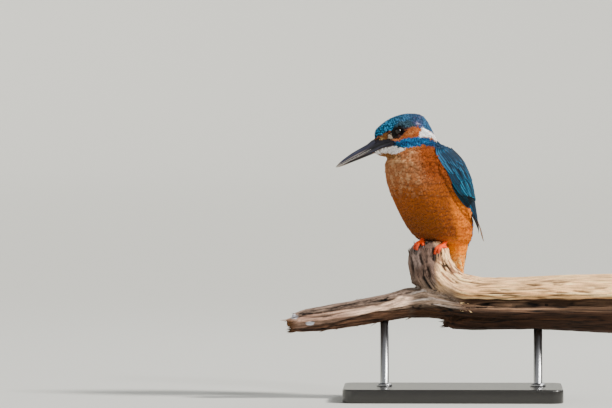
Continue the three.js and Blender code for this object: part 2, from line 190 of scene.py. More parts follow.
# The coat's depth: thin at the bill and eyes, deep on the breast and under the tail.
head_depth, breast_depth, tail_depth, wing_depth = 0.95, 1.7, 1.5, 0.75
depth = head_depth - 0.5 * ramp(-from_bill, -12, -4)
depth = depth + (breast_depth - depth) * (1 - head_share) * ramp(-z, -182, -168)
depth = np.where(z < 118, tail_depth, depth)
depth = depth * (1 - wing_share) + wing_depth * wing_share
depth = depth * (0.35 + 0.65 * ramp(from_eye, 3.6, 6.5)) + swell
inner = outer - up * depth[:, None]
skin_mesh.vertices.foreach_set("co", (inner * MM).ravel())
skin_mesh.update()

# The way the feathers lie: back from the bill over the head, then down the body to the tail, and
# spreading from the middle of the breast. On the wings they lie along the wing.
tailward = unit(-0.36 * forward + 0.93 * down)
round_way = np.cross([0.0, 0.0, 1.0], up) * np.sign(angle)[:, None]
nape_share = ramp(x, -32, -16)[:, None]
head_lie = unit(outer - bill_root) * (1 - 0.85 * nape_share) + 1.3 * nape_share * down
breast_share = ramp(-side, -95, -20)[:, None]
trunk_lie = tailward + 0.22 * round_way * breast_share * np.abs(np.sin(np.radians(1.9 * angle)))[:, None]
wing_lie = down + 0.27 * round_way
lie = head_lie * head_share[:, None] + trunk_lie * (1 - head_share)[:, None]
lie = lie * (1 - wing_share)[:, None] + wing_lie * wing_share[:, None]
lie = unit(lie - up * (lie * up).sum(1, keepdims=True))


def finder(places):
    """A tree that finds which of many places is nearest."""
    tree = KDTree(len(places))
    for number, place in enumerate(places):
        tree.insert(place, number)
    tree.balance()
    return tree


# How fast the surface falls away along the lie, which is how much a feather bends to follow it.
near = finder(inner)
bend_reach = 2.5
ahead_of = np.array([near.find(p)[1] for p in inner + lie * bend_reach])
bend = np.clip(((up[ahead_of] - up) * lie).sum(1) / bend_reach, -0.03, 0.12)

# --- Markings, shared by the skin and the feathers ---
# Each patch of colour is an outline seen from the side of the head, or a stretch of angles and
# heights round the trunk. Feather colours: pigments are rufous, cream and black, and the blues come
# from the feather's structure.
def linear(code):
    """A colour as the renderer counts it, from an sRGB hex code."""
    parts = [int(code[i : i + 2], 16) / 255 for i in (1, 3, 5)]
    return tuple(c / 12.92 if c <= 0.04045 else ((c + 0.055) / 1.055) ** 2.4 for c in parts) + (1,)


def lumps(*columns):
    """Smooth noise from -1 to 1 at the places whose coordinates are these columns."""
    return np.array([noise.noise(Vector(spot)) for spot in np.column_stack(np.broadcast_arrays(*columns))])


def grained(points, size, seed=0.0):
    """The same noise over points in millimetres, with lumps of a size."""
    return np.array([noise.noise(Vector(p) / size + Vector((seed, 3 * seed, 0))) for p in points])


colour = np.tile(linear("#a9602a"), (len(inner), 1))
edge = colour.copy()
tip = np.full(len(inner), 0.75)  # where along a feather its edge colour begins
ragged_x = x + 0.55 * grained(outer, 1.6, 1)
ragged_z = z + 0.55 * grained(outer, 1.6, 2)
mottle = grained(outer, 5.5, 3)
fleck = grained(outer, 2.4, 4)


def patch(outline, soft=0.5, ragged=True):
    """How much of each place lies in an outline of [x, z] in millimetres, fading over its edge."""
    px, pz = (ragged_x, ragged_z) if ragged else (x, z)
    points = np.array(outline, float)
    distance = np.full(len(px), 1e9)
    within = np.zeros(len(px), bool)
    for (ax, az), (bx, bz) in zip(points, np.roll(points, -1, axis=0)):
        t = np.clip(
            ((px - ax) * (bx - ax) + (pz - az) * (bz - az)) / ((bx - ax) ** 2 + (bz - az) ** 2), 0, 1,
        )
        distance = np.minimum(distance, np.hypot(px - ax - t * (bx - ax), pz - az - t * (bz - az)))
        if az != bz:
            within ^= ((az > pz) != (bz > pz)) & (px < ax + (pz - az) * (bx - ax) / (bz - az))
    return ramp(np.where(within, distance, -distance), -soft, soft)


def paint(share, base, rim=None, start=None):
    """Lays a colour over a share of the skin, with the feathers' edge colour and where it begins."""
    global colour, edge, tip
    share = np.clip(share, 0, 1)
    colour = colour * (1 - share[:, None]) + np.array(linear(base)) * share[:, None]
    edge = edge * (1 - share[:, None]) + np.array(linear(rim or base)) * share[:, None]
    if start is not None:
        tip = tip * (1 - share) + start * share


# The flank's feathers lie over the folded wing's front edge, up to these degrees round the trunk.
edge_heights = [121.5, 128.5, 134, 139, 142, 146, 150, 158, 168, 179, 184]
wing_edge = np.interp(z, edge_heights, [129, 117, 112, 111, 109, 101, 93, 86, 82, 77, 77])
wing = (wing_share > 0.5) * (side > wing_edge) * 1.0
body_share = (1 - head_share) * (1 - wing)

# The breast and belly: rufous, paler and browner on the upper breast, with painted shade darkest
# between the legs and in the fold before the flank, and the flank's orange painted brightest, as lit.
paint(body_share, "#7e3b05", "#93490a", 0.6)
paint(body_share * ramp(mottle, -0.05, 0.45) * 0.6, "#84400a", "#9a5012")
paint(body_share * ramp(z, 150, 168) * ramp(-side, -66, -40), "#94562c", "#b0744a")
high_mottle = ramp(grained(outer, 3.6, 12), 0.0, 0.35)
paint(body_share * ramp(z, 141, 160) * ramp(-side, -52, -20) * high_mottle * 0.6, "#b08052", "#cc9c70")
paint(
    body_share * ramp(z, 146, 160) * ramp(-side, -70, -34) * ramp(-high_mottle, -0.3, 0) * 0.4,
    "#7c421c", "#96562a",
)
paint(body_share * ramp(z, 168, 177) * ramp(-np.abs(angle + 14), -30, -10) * 0.4, "#a8804e", "#c8a274")
paint(body_share * ramp(z, 152, 166) * ramp(side, 30, 52), "#763104", "#8e420b")
# Painted shade: darkest on the belly between the legs.
paint(body_share * ramp(-z, -146, -126) * ramp(-side, -62, -36), "#6c3303", "#834408")
# Painted shadow in the fold before the flank.
fold = np.exp(-(((side - 60 + 0.25 * (z - 130)) / 9) ** 2)) * ramp(z, 108, 118) * ramp(-z, -158, -142)
paint(body_share * fold * 0.85, "#783804", "#90480a")
# The flank's orange, painted brighter as if lit.
flank = ramp(side, 66, 78) * ramp(-z, -152, -138)
paint(body_share * flank, "#c85f04", "#e27c10")
paint(body_share * flank * ramp(mottle, -0.1, 0.4) * 0.6, "#a84802", "#c46006")
under_tail = body_share * ramp(-z, -121, -108) * ramp(-side, -150, -128)
paint(under_tail * ramp(side, 25, 55), "#f07a00", "#ff9a00")
streaks = ramp(lumps(angle / 7, 0, z / 16), -0.15, 0.2)
paint(under_tail * ramp(-z, -108, -96) * streaks, "#f4ac44", "#ffdc90")
paint(under_tail * ramp(-z, -102, -92) * 0.5, "#f0a030", "#ffc868")

# The back, from the neck down to the tail: a stripe of pale bright blue between darker shoulders.
back_share = (body_share > 0.5) * (side + 5 * fleck > 125) * ramp(z + fleck, 98.5, 99.5)
paint(back_share, "#0e3a60", "#1f6ea6", 0.7)
paint(back_share * ramp(side, 150, 164) * ramp(z, 100, 108), "#1688c0", "#4cc0ec", 0.6)
paint(body_share * ramp(side, 134, 136) * ramp(-z, -104, -98), "#123c70", "#2a66a8", 0.6)

# The wings and the feathers of the shoulder: dark green blue with paler spots.
on_top = (head_share < 0.5) * (z + 1.5 * fleck > 180.5) * (side + 5 * fleck > 82)
paint(on_top, "#0e2e48", "#2a6c94", 0.8)
paint(wing, "#10304a", "#2d7ca6", 0.84)
paint(wing * ramp(fleck, -0.2, 0.4) * 0.6, "#1c2c48", "#3f74a0")
paint(wing * ramp(side, 132, 142) * ramp(z, 160, 166), "#0b2c4c", "#1f90d0", 0.7)

# The head.
crown_x = [-58, -54.1, -50.3, -46.8, -45, -42.2, -40, -36, -31, -25.5, -21.5, -17.5, -14, -8]
crown = np.interp(
    x, crown_x, [191, 193, 195.6, 195.9, 197.2, 199.3, 200.4, 199.2, 200, 200.6, 199, 197.2, 195, 189],
)
paint(head_share, "#9c4c14", "#b8662a", 0.7)
top = (head_share > 0.5) * (ragged_z > crown) * 1.0
nape_half = 0.9 + 4.2 * ramp(z, 195.5, 199.5)
nape = head_share * ramp(x, -20, -16) * ramp(-np.abs(y - head_side), -nape_half - 0.8, -nape_half + 0.8)
paint(top, "#041a2a", "#083850", 0.6)
# Azure bars run across the lie, one for each row of feathers.
waves = np.sin(2 * math.pi * (from_bill + 0.6 * grained(outer, 3.6, 21)) / 1.55)
bars = top * ramp(waves, -0.3, 0.4)
paint(bars, "#0a4264", "#267fac", 0.55)
high = ramp(x, -46, -36) * ramp(z, 199, 203)
paint(top * high, "#0b2236", "#1a3d56")
paint(bars * high, "#173f5c", "#346890")
rear = ramp(x, -34, -26)
paint(top * rear, "#0c1628", "#182e48")
paint(bars * rear, "#142f4c", "#26496a")
paint(top * rear * ramp(fleck, 0, 0.5) * 0.5, "#2a2444", "#5f5880")
paint(top * ramp(x, -22.5, -19), "#0c304e", "#1f6690", 0.8)
slate = patch([
    (-43.5, 199), (-40.6, 202.2), (-37.4, 204.6), (-32.5, 205.2), (-27.8, 203.4), (-25, 200.8),
    (-30, 199.6), (-36, 198.4),
], 0.9)
paint(head_share * slate, "#1f3440", "#3d5c6c", 0.84)
paint(
    head_share * patch([
        (-29.5, 203), (-26.5, 204), (-22, 202.5), (-20.5, 198.6), (-25.5, 200.4),
    ], 0.9) * 0.8,
    "#262a46", "#474f7a",
)
# A painted highlight: a small pale lilac spot on the rear crown.
paint(
    head_share * patch([(-25.9, 202.8), (-24.2, 203), (-23.6, 201.6), (-25.4, 201.3)], 0.5) * 0.8,
    "#8a7f98", "#c0b2c4",
)

# Throat, ears, neck patch, and the blue stripe from the bill to the shoulder.
paint(head_share * ramp(186 - z, 0, 1.5), "#9a5420", "#b87038")
throat = patch([
    (-57.5, 182.6), (-50.7, 185.4), (-44.7, 186), (-36.6, 185), (-33.5, 184.2), (-37.6, 182), (-41, 180.8),
    (-47, 180), (-57, 178),
], 0.5)
# A painted shadow under the chin, in ochre brown.
chin_shadow = patch([
    (-57.5, 179.4), (-50.7, 180.9), (-43, 181), (-39.5, 180), (-41.5, 176.4), (-47, 174.5), (-57, 175),
], 0.8)
paint(chin_shadow * 0.85, "#8c5c28", "#a87844")
paint(throat, "#d9cfc8", "#f6f2ee", 0.4)
ears = patch([
    (-38.6, 191.6), (-34.6, 195.8), (-31.8, 197.9), (-29.7, 199.7), (-25.5, 200.4), (-21.7, 198.9),
    (-23.4, 195.8), (-24, 191.6),
], 0.05)
paint(ears, "#7e370b", "#9c501e", 0.6)
paint(ears * ramp(fleck, 0.05, 0.5) * 0.6, "#a86634", "#c28452")
paint(
    ears * patch([(-27.5, 200.5), (-22, 199.5), (-22.5, 192), (-26.2, 192)], 0.6) * 0.5,
    "#93400f", "#b4581c",
)
white = (1 - wing_share) * patch([
    (-21.9, 199), (-17.8, 197.4), (-14.6, 195), (-11, 191.8), (-10.2, 188.8), (-11.6, 188.6), (-13, 189.8),
    (-15, 191.4), (-19.9, 192.5), (-24.4, 192.5), (-23.2, 195.8),
], 0.4)
paint(white * (1 - nape), "#f2efee", "#ffffff", 0.4)
paint(white * (1 - nape) * ramp(-z, -191.2, -188.5) * 0.8, "#dca680", "#f0cdb0")
paint(nape * ramp(z, 184, 187), "#0f3a5c", "#2a76a8", 0.8)
malar = patch([
    (-45, 188.8), (-38.8, 189.3), (-36, 191.2), (-32.5, 192.1), (-22, 192.3), (-16.8, 191.2), (-14, 189.4),
    (-10.5, 187.2), (-12.5, 184.5), (-16.8, 184.6), (-20.6, 187.2), (-22.7, 186.3), (-29, 185.5),
    (-34.6, 184.9), (-44.6, 185.3),
], 0.05)
paint(malar, "#06213b", "#124f80", 0.6)
paint(malar * ramp(186.9 - z, 0, 1) * ramp(-x, 25, 30), "#0c2c3a", "#17505e")
malar_streaks = ramp(lumps(x / 7, 5, (z + 0.12 * x) / 1.3), 0.0, 0.3)
paint(malar * malar_streaks * 0.85, "#0d5288", "#2686c6")
paint(malar * ramp(x, -19, -14) * 0.7, "#10284a", "#1e4c80")
paint(
    patch([(-44.6, 190.4), (-38.6, 192.4), (-36.6, 191.9), (-38.8, 189.9), (-44.6, 188.9)], 0.35),
    "#c46a34", "#e08c56", 0.5,
)

# The bridle between the bill and the eye: black, with an orange patch and a pale spot. A dark streak
# goes on behind the eye.
paint(
    patch([
        (-38.4, 191.9), (-35.9, 193.9), (-34.8, 196), (-32.4, 198), (-30.4, 199.9), (-36, 199.6),
        (-39, 198),
    ], 0.6),
    "#22191f", "#3a2c34", 0.7,
)
paint(
    patch([
        (-61, 188), (-61, 190.8), (-57, 190.9), (-54.1, 192.4), (-51.5, 194.8), (-49, 195.7),
        (-46.5, 195.9), (-44.6, 197.5), (-43, 198.6), (-38, 192.6), (-44.6, 190.4), (-48, 189.2),
    ], 0.5),
    "#1b1715", "#2c2622", 0.7,
)
lore = patch([
    (-53.4, 190.3), (-52.4, 192.6), (-50.4, 195), (-49.4, 196), (-47.1, 195.4), (-47.3, 191.4), (-50, 190),
], 0.5)
paint(lore, "#55300e", "#885628", 0.5)
paint(lore * ramp(-z, -193, -191.5) * ramp(-x, 49, 51), "#9a7238", "#c8a468")
paint(
    patch([(-46.9, 191.4), (-46.2, 194.9), (-44.6, 195), (-43.4, 193), (-44, 190.9)], 0.4),
    "#a08a74", "#cdb8a4", 0.5,
)
paint(ramp(-from_eye, -4.3, -3.5), "#0f0d0c", "#1a1715", 0.9)

# The bare horny skin at the corner of the mouth, where the bill's root reaches under the eye.
gape = patch([
    (-61, 180.8), (-61, 190), (-54, 190), (-48, 189.8), (-44.2, 189.4), (-43.6, 187.4), (-45, 185.6),
    (-51, 184.2), (-54, 182.6),
], 0.4, False)
paint(gape * head_share, "#3a3844", "#3a3844")

# What each kind of stored value is called, and how many numbers it holds.
FIELDS = {"FLOAT": ("value", 1), "FLOAT_VECTOR": ("vector", 3), "FLOAT_COLOR": ("color", 4)}


def keep(mesh, name, kind, values, domain="POINT"):
    """Stores a number, a vector or a colour under a name, for each vertex or face of a mesh."""
    field, width = FIELDS[kind]
    made = mesh.attributes.new(name, kind, domain)
    shape = (len(made.data), width) if width > 1 else len(made.data)
    values = np.broadcast_to(values, shape).astype(float)
    if kind == "FLOAT_COLOR":
        values = np.clip(values, 0, 1)
    made.data.foreach_set(field, values.ravel())
    return mesh


def clad(mesh, finish, shades=None):
    """Gives a mesh its material and, where it has any, its stored colours, and shades it smooth."""
    mesh.materials.clear()
    mesh.materials.append(finish)
    mesh.shade_smooth()
    return mesh if shades is None else keep(mesh, "colour", "FLOAT_COLOR", shades)


def wire(tree, node, links):
    """Sets or links a node's inputs."""
    for socket, value in links.items():
        if isinstance(value, bpy.types.NodeSocket):
            tree.links.new(value, node.inputs[socket])
        else:
            node.inputs[socket].default_value = value


def add(tree, kind, settings=None, links=None, output=0):
    """Adds a node to a tree, sets its properties, sets or links its inputs, and gives an output."""
    made = tree.nodes.new(kind)
    for name, value in (settings or {}).items():
        setattr(made, name, value)
    wire(tree, made, links or {})
    return made if output is None else made.outputs[output]


def material(name):
    """A new material with a bare surface shader: its tree and the shader."""
    made = bpy.data.materials.new(name)
    made.use_nodes = True
    shader = next(n for n in made.node_tree.nodes if n.type == "BSDF_PRINCIPLED")
    return made, made.node_tree, shader


# Bare skin between feather roots: dull and soft, and painted about half as bright as the feathers
# over it, as shade in the gaps between them.
bare_skin, tree, shader = material("feathered_skin")
under = add(tree, "ShaderNodeAttribute", {"attribute_name": "colour"})
darker = add(tree, "ShaderNodeMix", {"data_type": "RGBA", "blend_type": "MULTIPLY"}, {
    0: 1.0, 6: under, 7: (0.5, 0.47, 0.45, 1),
}, 2)
wire(tree, shader, {"Base Color": darker, "Roughness": 0.85, "Specular IOR Level": 0.2})
clad(skin_mesh, bare_skin, colour)
keep(skin_mesh, "edge", "FLOAT_COLOR", edge)

# --- Small feathers ---
# The coat itself. Each feather is a thin vane rooted in the skin, rising to the coat's surface and
# lying along the body over the roots of the next ones. Head feathers are short scales with a bright
# bar at the tip, and breast feathers are loose and split into fine points.


def lofted(name, rings, first=None, last=None, scale=MM):
    """A closed surface through equal rings of points, in millimetres if no scale is given.

    It ends in a point at each end, or runs back into its first ring when no ends are given."""
    rings = np.asarray(rings, float)
    count, around = rings.shape[:2]
    verts = rings.reshape(-1, 3)
    faces = []
    for k in range(count if first is None else count - 1):
        for j in range(around):
            a, b = k * around + j, k * around + (j + 1) % around
            faces.append((a, b, (b + around) % len(verts), (a + around) % len(verts)))
    if first is not None:
        end = len(verts) - around
        for j in range(around):
            after = (j + 1) % around
            faces.append((len(verts), after, j))
            faces.append((len(verts) + 1, end + j, end + after))
        verts = np.vstack([verts, first, last])
    mesh = bpy.data.meshes.new(name)
    mesh.from_pydata((verts * scale).tolist(), [], faces)
    bm = bmesh.new()
    bm.from_mesh(mesh)
    bmesh.ops.recalc_face_normals(bm, faces=bm.faces)
    bm.to_mesh(mesh)
    bm.free()
    mesh.shade_smooth()
    return mesh


def joined(name, meshes):
    """Several meshes as one, with their materials and what is stored for their vertices."""
    verts, faces, slots, finishes = [], [], [], []
    start = 0
    for mesh in meshes:
        verts.append(read(mesh.vertices, "co", 3))
        faces += [tuple(v + start for v in face.vertices) for face in mesh.polygons]
        start += len(mesh.vertices)
        finish = mesh.materials[0] if mesh.materials else None
        if finish not in finishes:
            finishes.append(finish)
        slots += [finishes.index(finish)] * len(mesh.polygons)
    whole = bpy.data.meshes.new(name)
    whole.from_pydata(np.vstack(verts).tolist(), [], faces)
    for finish in filter(None, finishes):
        whole.materials.append(finish)
    whole.polygons.foreach_set("material_index", slots)
    whole.shade_smooth()
    for label, kind in (("colour", "FLOAT_COLOR"), ("grain", "FLOAT_VECTOR"), ("barb", "FLOAT")):
        field, width = FIELDS[kind]
        if any(label in mesh.attributes for mesh in meshes):
            keep(whole, label, kind, np.concatenate([
                read(mesh.attributes[label].data, field, width) if label in mesh.attributes
                else np.zeros((len(mesh.vertices), width)) for mesh in meshes
            ]))
    return whole


def vane(name, blades, thickness=0.05):
    """A feather one unit long and wide: blades as rows of [along, across, half width, height]."""
    parts = []
    for (start, start_aside, _, start_height), *rows, (end, end_aside, _, end_height) in blades:
        rings = [
            [
                (aside - half, at, height - 0.2 * half),
                (aside, at, height + thickness),
                (aside + half, at, height - 0.2 * half),
                (aside, at, height - thickness),
            ]
            for at, aside, half, height in rows
        ]
        root, point = (start_aside, start, start_height), (end_aside, end, end_height)
        parts.append(lofted(name, rings, root, point, scale=1.0))
    mesh = joined(name, parts)
    px, py, _ = read(mesh.vertices, "co", 3).T
    keep(mesh, "along", "FLOAT", py)
    keep(mesh, "across", "FLOAT", 2 * px)
    return bpy.data.objects.new(name, mesh)


# Rows from the root to the point: along, across, half width, height over the skin.
scale_vane = vane("scale_vane", [
    [
        (-0.08, 0, 0, -0.4), (0.3, 0, 0.3, 0.6), (0.62, 0, 0.36, 0.9), (0.86, 0, 0.26, 0.86),
        (1.0, 0, 0, 0.76),
    ],
    [
        (-0.08, 0, 0, -0.4), (0.3, -0.14, 0.24, 0.56), (0.6, -0.25, 0.26, 0.84), (0.82, -0.25, 0.16, 0.8),
        (0.93, -0.27, 0, 0.72),
    ],
    [
        (-0.08, 0, 0, -0.4), (0.3, 0.14, 0.24, 0.54), (0.6, 0.25, 0.26, 0.83), (0.83, 0.25, 0.16, 0.79),
        (0.95, 0.25, 0, 0.7),
    ],
])
barb_vane = vane("barb_vane", [
    [(-0.06, 0, 0, -0.4), (0.35, 0.0, 0.15, 0.62), (0.72, 0.02, 0.13, 0.9), (1.0, 0.03, 0, 0.86)],
    [(-0.06, 0, 0, -0.45), (0.35, -0.14, 0.14, 0.56), (0.68, -0.23, 0.12, 0.84), (0.95, -0.28, 0, 0.8)],
    [(-0.06, 0, 0, -0.45), (0.35, 0.14, 0.14, 0.58), (0.7, 0.25, 0.12, 0.82), (0.97, 0.31, 0, 0.78)],
    [(-0.06, 0, 0, -0.5), (0.33, -0.26, 0.12, 0.48), (0.6, -0.43, 0.1, 0.74), (0.84, -0.53, 0, 0.72)],
    [(-0.06, 0, 0, -0.5), (0.33, 0.27, 0.12, 0.5), (0.62, 0.44, 0.1, 0.75), (0.88, 0.56, 0, 0.72)],
])
hair_vane = vane("hair_vane", [
    [(-0.06, 0, 0, -0.4), (0.35, 0, 0.26, 0.62), (0.75, 0.02, 0.2, 0.92), (1.0, 0.04, 0, 0.94)],
    [(-0.06, 0, 0, -0.4), (0.35, 0.24, 0.22, 0.52), (0.7, 0.36, 0.16, 0.82), (0.92, 0.46, 0, 0.86)],
    [(-0.06, 0, 0, -0.4), (0.35, -0.24, 0.22, 0.54), (0.68, -0.38, 0.16, 0.82), (0.9, -0.46, 0, 0.84)],
])

# The nodes that grow the coat: roots strewn over the skin and a vane set on each along the lie, which
# is then bent to follow the body.
coat_tree = bpy.data.node_groups.new("coat", "GeometryNodeTree")
coat_inputs = {}
for label, kind in (
    ("Geometry", "Geometry"), ("Vane", "Object"), ("Spacing", "Float"), ("Turn Spread", "Float"),
    ("Size Spread", "Float"), ("Seed", "Int"), ("Material", "Material"),
):
    coat_inputs[label] = coat_tree.interface.new_socket(
        name=label, in_out="INPUT", socket_type="NodeSocket" + kind
    )
coat_tree.interface.new_socket(name="Geometry", in_out="OUTPUT", socket_type="NodeSocketGeometry")
given = add(coat_tree, "NodeGroupInput", output=None).outputs
known = {label: given[label] for label in coat_inputs}
for label in ("grow", "length", "width", "lift", "bend", "along", "up", "lie"):
    kind = "FLOAT_VECTOR" if label in ("up", "lie") else "FLOAT"
    known[label] = add(coat_tree, "GeometryNodeInputNamedAttribute", {"data_type": kind}, {"Name": label})
# Sums over what is known: a name stands for an input, a stored value or an earlier sum.
for label, operation, *terms in (
    ("area", "POWER", "Spacing", 2.0),
    ("crowd", "DIVIDE", 3.0, "area"),
    ("tone seed", "ADD", "Seed", 1),
    ("turn seed", "ADD", "Seed", 2),
    ("growth seed", "ADD", "Seed", 3),
    ("least turn", "MULTIPLY", "Turn Spread", -1.0),
    ("least growth", "SUBTRACT", 1.0, "Size Spread"),
    ("most growth", "ADD", 1.0, "Size Spread"),
    # A feather bends down as the body falls away under it, by its distance from the root squared.
    ("out", "MULTIPLY", "along", "length"),
    ("out squared", "MULTIPLY", "out", "out"),
    ("half bend", "MULTIPLY", "bend", -0.5),
    ("fall", "MULTIPLY", "out squared", "half bend"),
):
    links = {socket: known.get(term, term) for socket, term in enumerate(terms)}
    known[label] = add(coat_tree, "ShaderNodeMath", {"operation": operation}, links)
for label, low, high in (
    ("tone", 0.0, 1.0),
    ("turn", known["least turn"], known["Turn Spread"]),
    ("growth", known["least growth"], known["most growth"]),
):
    links = {2: low, 3: high, "Seed": known[label + " seed"]}
    known[label] = add(coat_tree, "FunctionNodeRandomValue", {"data_type": "FLOAT"}, links, 1)
points = add(coat_tree, "GeometryNodeDistributePointsOnFaces", {"distribute_method": "POISSON"}, {
    "Mesh": known["Geometry"], "Distance Min": known["Spacing"], "Density Max": known["crowd"],
    "Density Factor": known["grow"], "Seed": known["Seed"],
})
for name, kind, value in (
    ("root", "FLOAT_VECTOR", add(coat_tree, "GeometryNodeInputPosition")),
    ("tone", "FLOAT", known["tone"]),
):
    points = add(coat_tree, "GeometryNodeStoreNamedAttribute", {"data_type": kind, "domain": "POINT"}, {
        "Geometry": points, "Name": name, "Value": value,
    })
turned = add(coat_tree, "ShaderNodeVectorRotate", {"rotation_type": "AXIS_ANGLE"}, {
    "Vector": known["lie"], "Axis": known["up"], "Angle": known["turn"],
})
facing = add(coat_tree, "FunctionNodeAxesToRotation", {"primary_axis": "Z", "secondary_axis": "Y"}, {
    0: known["up"], 1: turned,
})
reach = add(
    coat_tree, "ShaderNodeMath", {"operation": "MULTIPLY"}, {0: known["length"], 1: known["growth"]},
)
size = add(coat_tree, "ShaderNodeCombineXYZ", None, {0: known["width"], 1: reach, 2: known["lift"]})
shape = add(coat_tree, "GeometryNodeObjectInfo", None, {"Object": known["Vane"]}, "Geometry")
feathers = add(coat_tree, "GeometryNodeInstanceOnPoints", None, {
    "Points": points, "Instance": shape, "Rotation": facing, "Scale": size,
})
feathers = add(coat_tree, "GeometryNodeRealizeInstances", None, {0: feathers})
drop = add(
    coat_tree, "ShaderNodeVectorMath", {"operation": "SCALE"}, {0: known["up"], "Scale": known["fall"]},
)
feathers = add(coat_tree, "GeometryNodeSetPosition", None, {"Geometry": feathers, "Offset": drop})
feathers = add(coat_tree, "GeometryNodeSetMaterial", None, {
    "Geometry": feathers, "Material": known["Material"],
})
add(coat_tree, "NodeGroupOutput", None, {0: feathers}, None)


def plumage(name, roughness, specular, sheen, shades, streak=0.28, spot=0.0):
    """A feather material: the stored colour, and its edge colour in a bar or a spot at the tip."""
    made, tree, shader = material(name)
    base, rim = (
        add(tree, "ShaderNodeAttribute", {"attribute_name": label}) for label in ("colour", "edge")
    )
    along, across, start, tone = (
        add(tree, "ShaderNodeAttribute", {"attribute_name": label}, output="Fac")
        for label in ("along", "across", "tip", "tone")
    )
    smooth = {"interpolation_type": "SMOOTHSTEP"}
    times, times_add = {"operation": "MULTIPLY"}, {"operation": "MULTIPLY_ADD"}
    square = add(tree, "ShaderNodeMath", times, {0: across, 1: across})
    bowed = add(tree, "ShaderNodeMath", times_add, {0: square, 1: 0.16, 2: along})
    beyond = add(tree, "ShaderNodeMath", {"operation": "SUBTRACT"}, {0: bowed, 1: start})
    share = add(tree, "ShaderNodeMapRange", smooth, {"Value": beyond, "From Min": -0.05, "From Max": 0.05})
    if spot:
        shaft = add(tree, "ShaderNodeMapRange", smooth, {
            "Value": square, "From Min": spot, "From Max": 0.5 * spot,
        })
        share = add(tree, "ShaderNodeMath", times, {0: share, 1: shaft})
    mixed = add(tree, "ShaderNodeMix", {"data_type": "RGBA"}, {0: share, 6: base, 7: rim}, 2)
    # Barbs run out from the shaft and forward: fine streaks, different on each feather.
    aside = add(tree, "ShaderNodeMath", {"operation": "ABSOLUTE"}, {0: across})
    slanted = add(tree, "ShaderNodeMath", times_add, {0: aside, 1: -0.45, 2: along})
    own = add(tree, "ShaderNodeMath", times, {0: tone, 1: 90.0})
    barb_place = add(tree, "ShaderNodeCombineXYZ", None, {0: slanted, 1: own, 2: across})
    stretched = add(tree, "ShaderNodeVectorMath", times, {0: barb_place, 1: (26, 1, 1.2)})
    barb_noise = add(tree, "ShaderNodeTexNoise", None, {"Vector": stretched, "Scale": 1.0, "Detail": 1.0})
    barbs = add(tree, "ShaderNodeMapRange", None, {
        "Value": barb_noise, "From Min": 0.3, "From Max": 0.7, "To Min": 1 - streak, "To Max": 1 + streak,
    })
    # No two feathers are quite the same shade, and the roots lie in the shadow of the ones above.
    value = add(
        tree, "ShaderNodeMapRange", None, {"Value": tone, "To Min": 1 - shades, "To Max": 1 + shades},
    )
    root = add(
        tree, "ShaderNodeMapRange", None, {"Value": along, "From Max": 0.6, "To Min": 0.75, "To Max": 1.0},
    )
    for factor in (root, barbs):
        value = add(tree, "ShaderNodeMath", times, {0: value, 1: factor})
    final = add(tree, "ShaderNodeHueSaturation", None, {"Color": mixed, "Value": value})
    wire(tree, shader, {
        "Base Color": final, "Roughness": roughness, "Specular IOR Level": specular,
        "Sheen Weight": sheen, "Sheen Roughness": 0.5,
    })
    return made


# Soft feathers coloured by pigment alone, feathers whose blue comes from their structure, and blue
# ones with a pale spot at the tip.
soft_plumage = plumage("pigment_feather", 0.85, 0.12, 0.04, 0.07, 0.18)
blue_plumage = plumage("structural_blue_feather", 0.65, 0.15, 0.0, 0.2)
spotted_plumage = plumage("spotted_blue_feather", 0.65, 0.15, 0.0, 0.25, spot=0.3)


def unwrapped(roots):
    """Each root's place on an unwrap of the body: round its long axis, and along it."""
    spine = np.array([
        [-58, -8, 187], [-30, -8, 193], [-20, -2, 181], [-19, 0, 150], [-8, 8, 118], [2, 20, 86],
    ], float)
    best = np.full(len(roots), np.inf)
    along, turn = np.zeros(len(roots)), np.zeros(len(roots))
    run = 0.0
    for a, b in zip(spine, spine[1:]):
        way = b - a
        length = np.linalg.norm(way)
        t = np.clip((roots - a) @ way / length**2, 0, 1)
        off = roots - a - t[:, None] * way
        distance = np.linalg.norm(off, axis=1)
        beside = unit(np.cross(way / length, forward))
        front = np.cross(beside, way / length)
        nearer = distance < best
        best = np.where(nearer, distance, best)
        along = np.where(nearer, run + t * length, along)
        turn = np.where(nearer, np.arctan2(off @ beside, off @ front), turn)
        run += length
    return np.column_stack([turn, along])


def bake_map(mesh, places):
    """Gives a mesh its OFBake map, from a place on it for each vertex."""
    corners = read(mesh.loops, "vertex_index", 1, np.int32)
    mesh.uv_layers.new(name="OFBake").data.foreach_set("uv", places[corners].ravel())


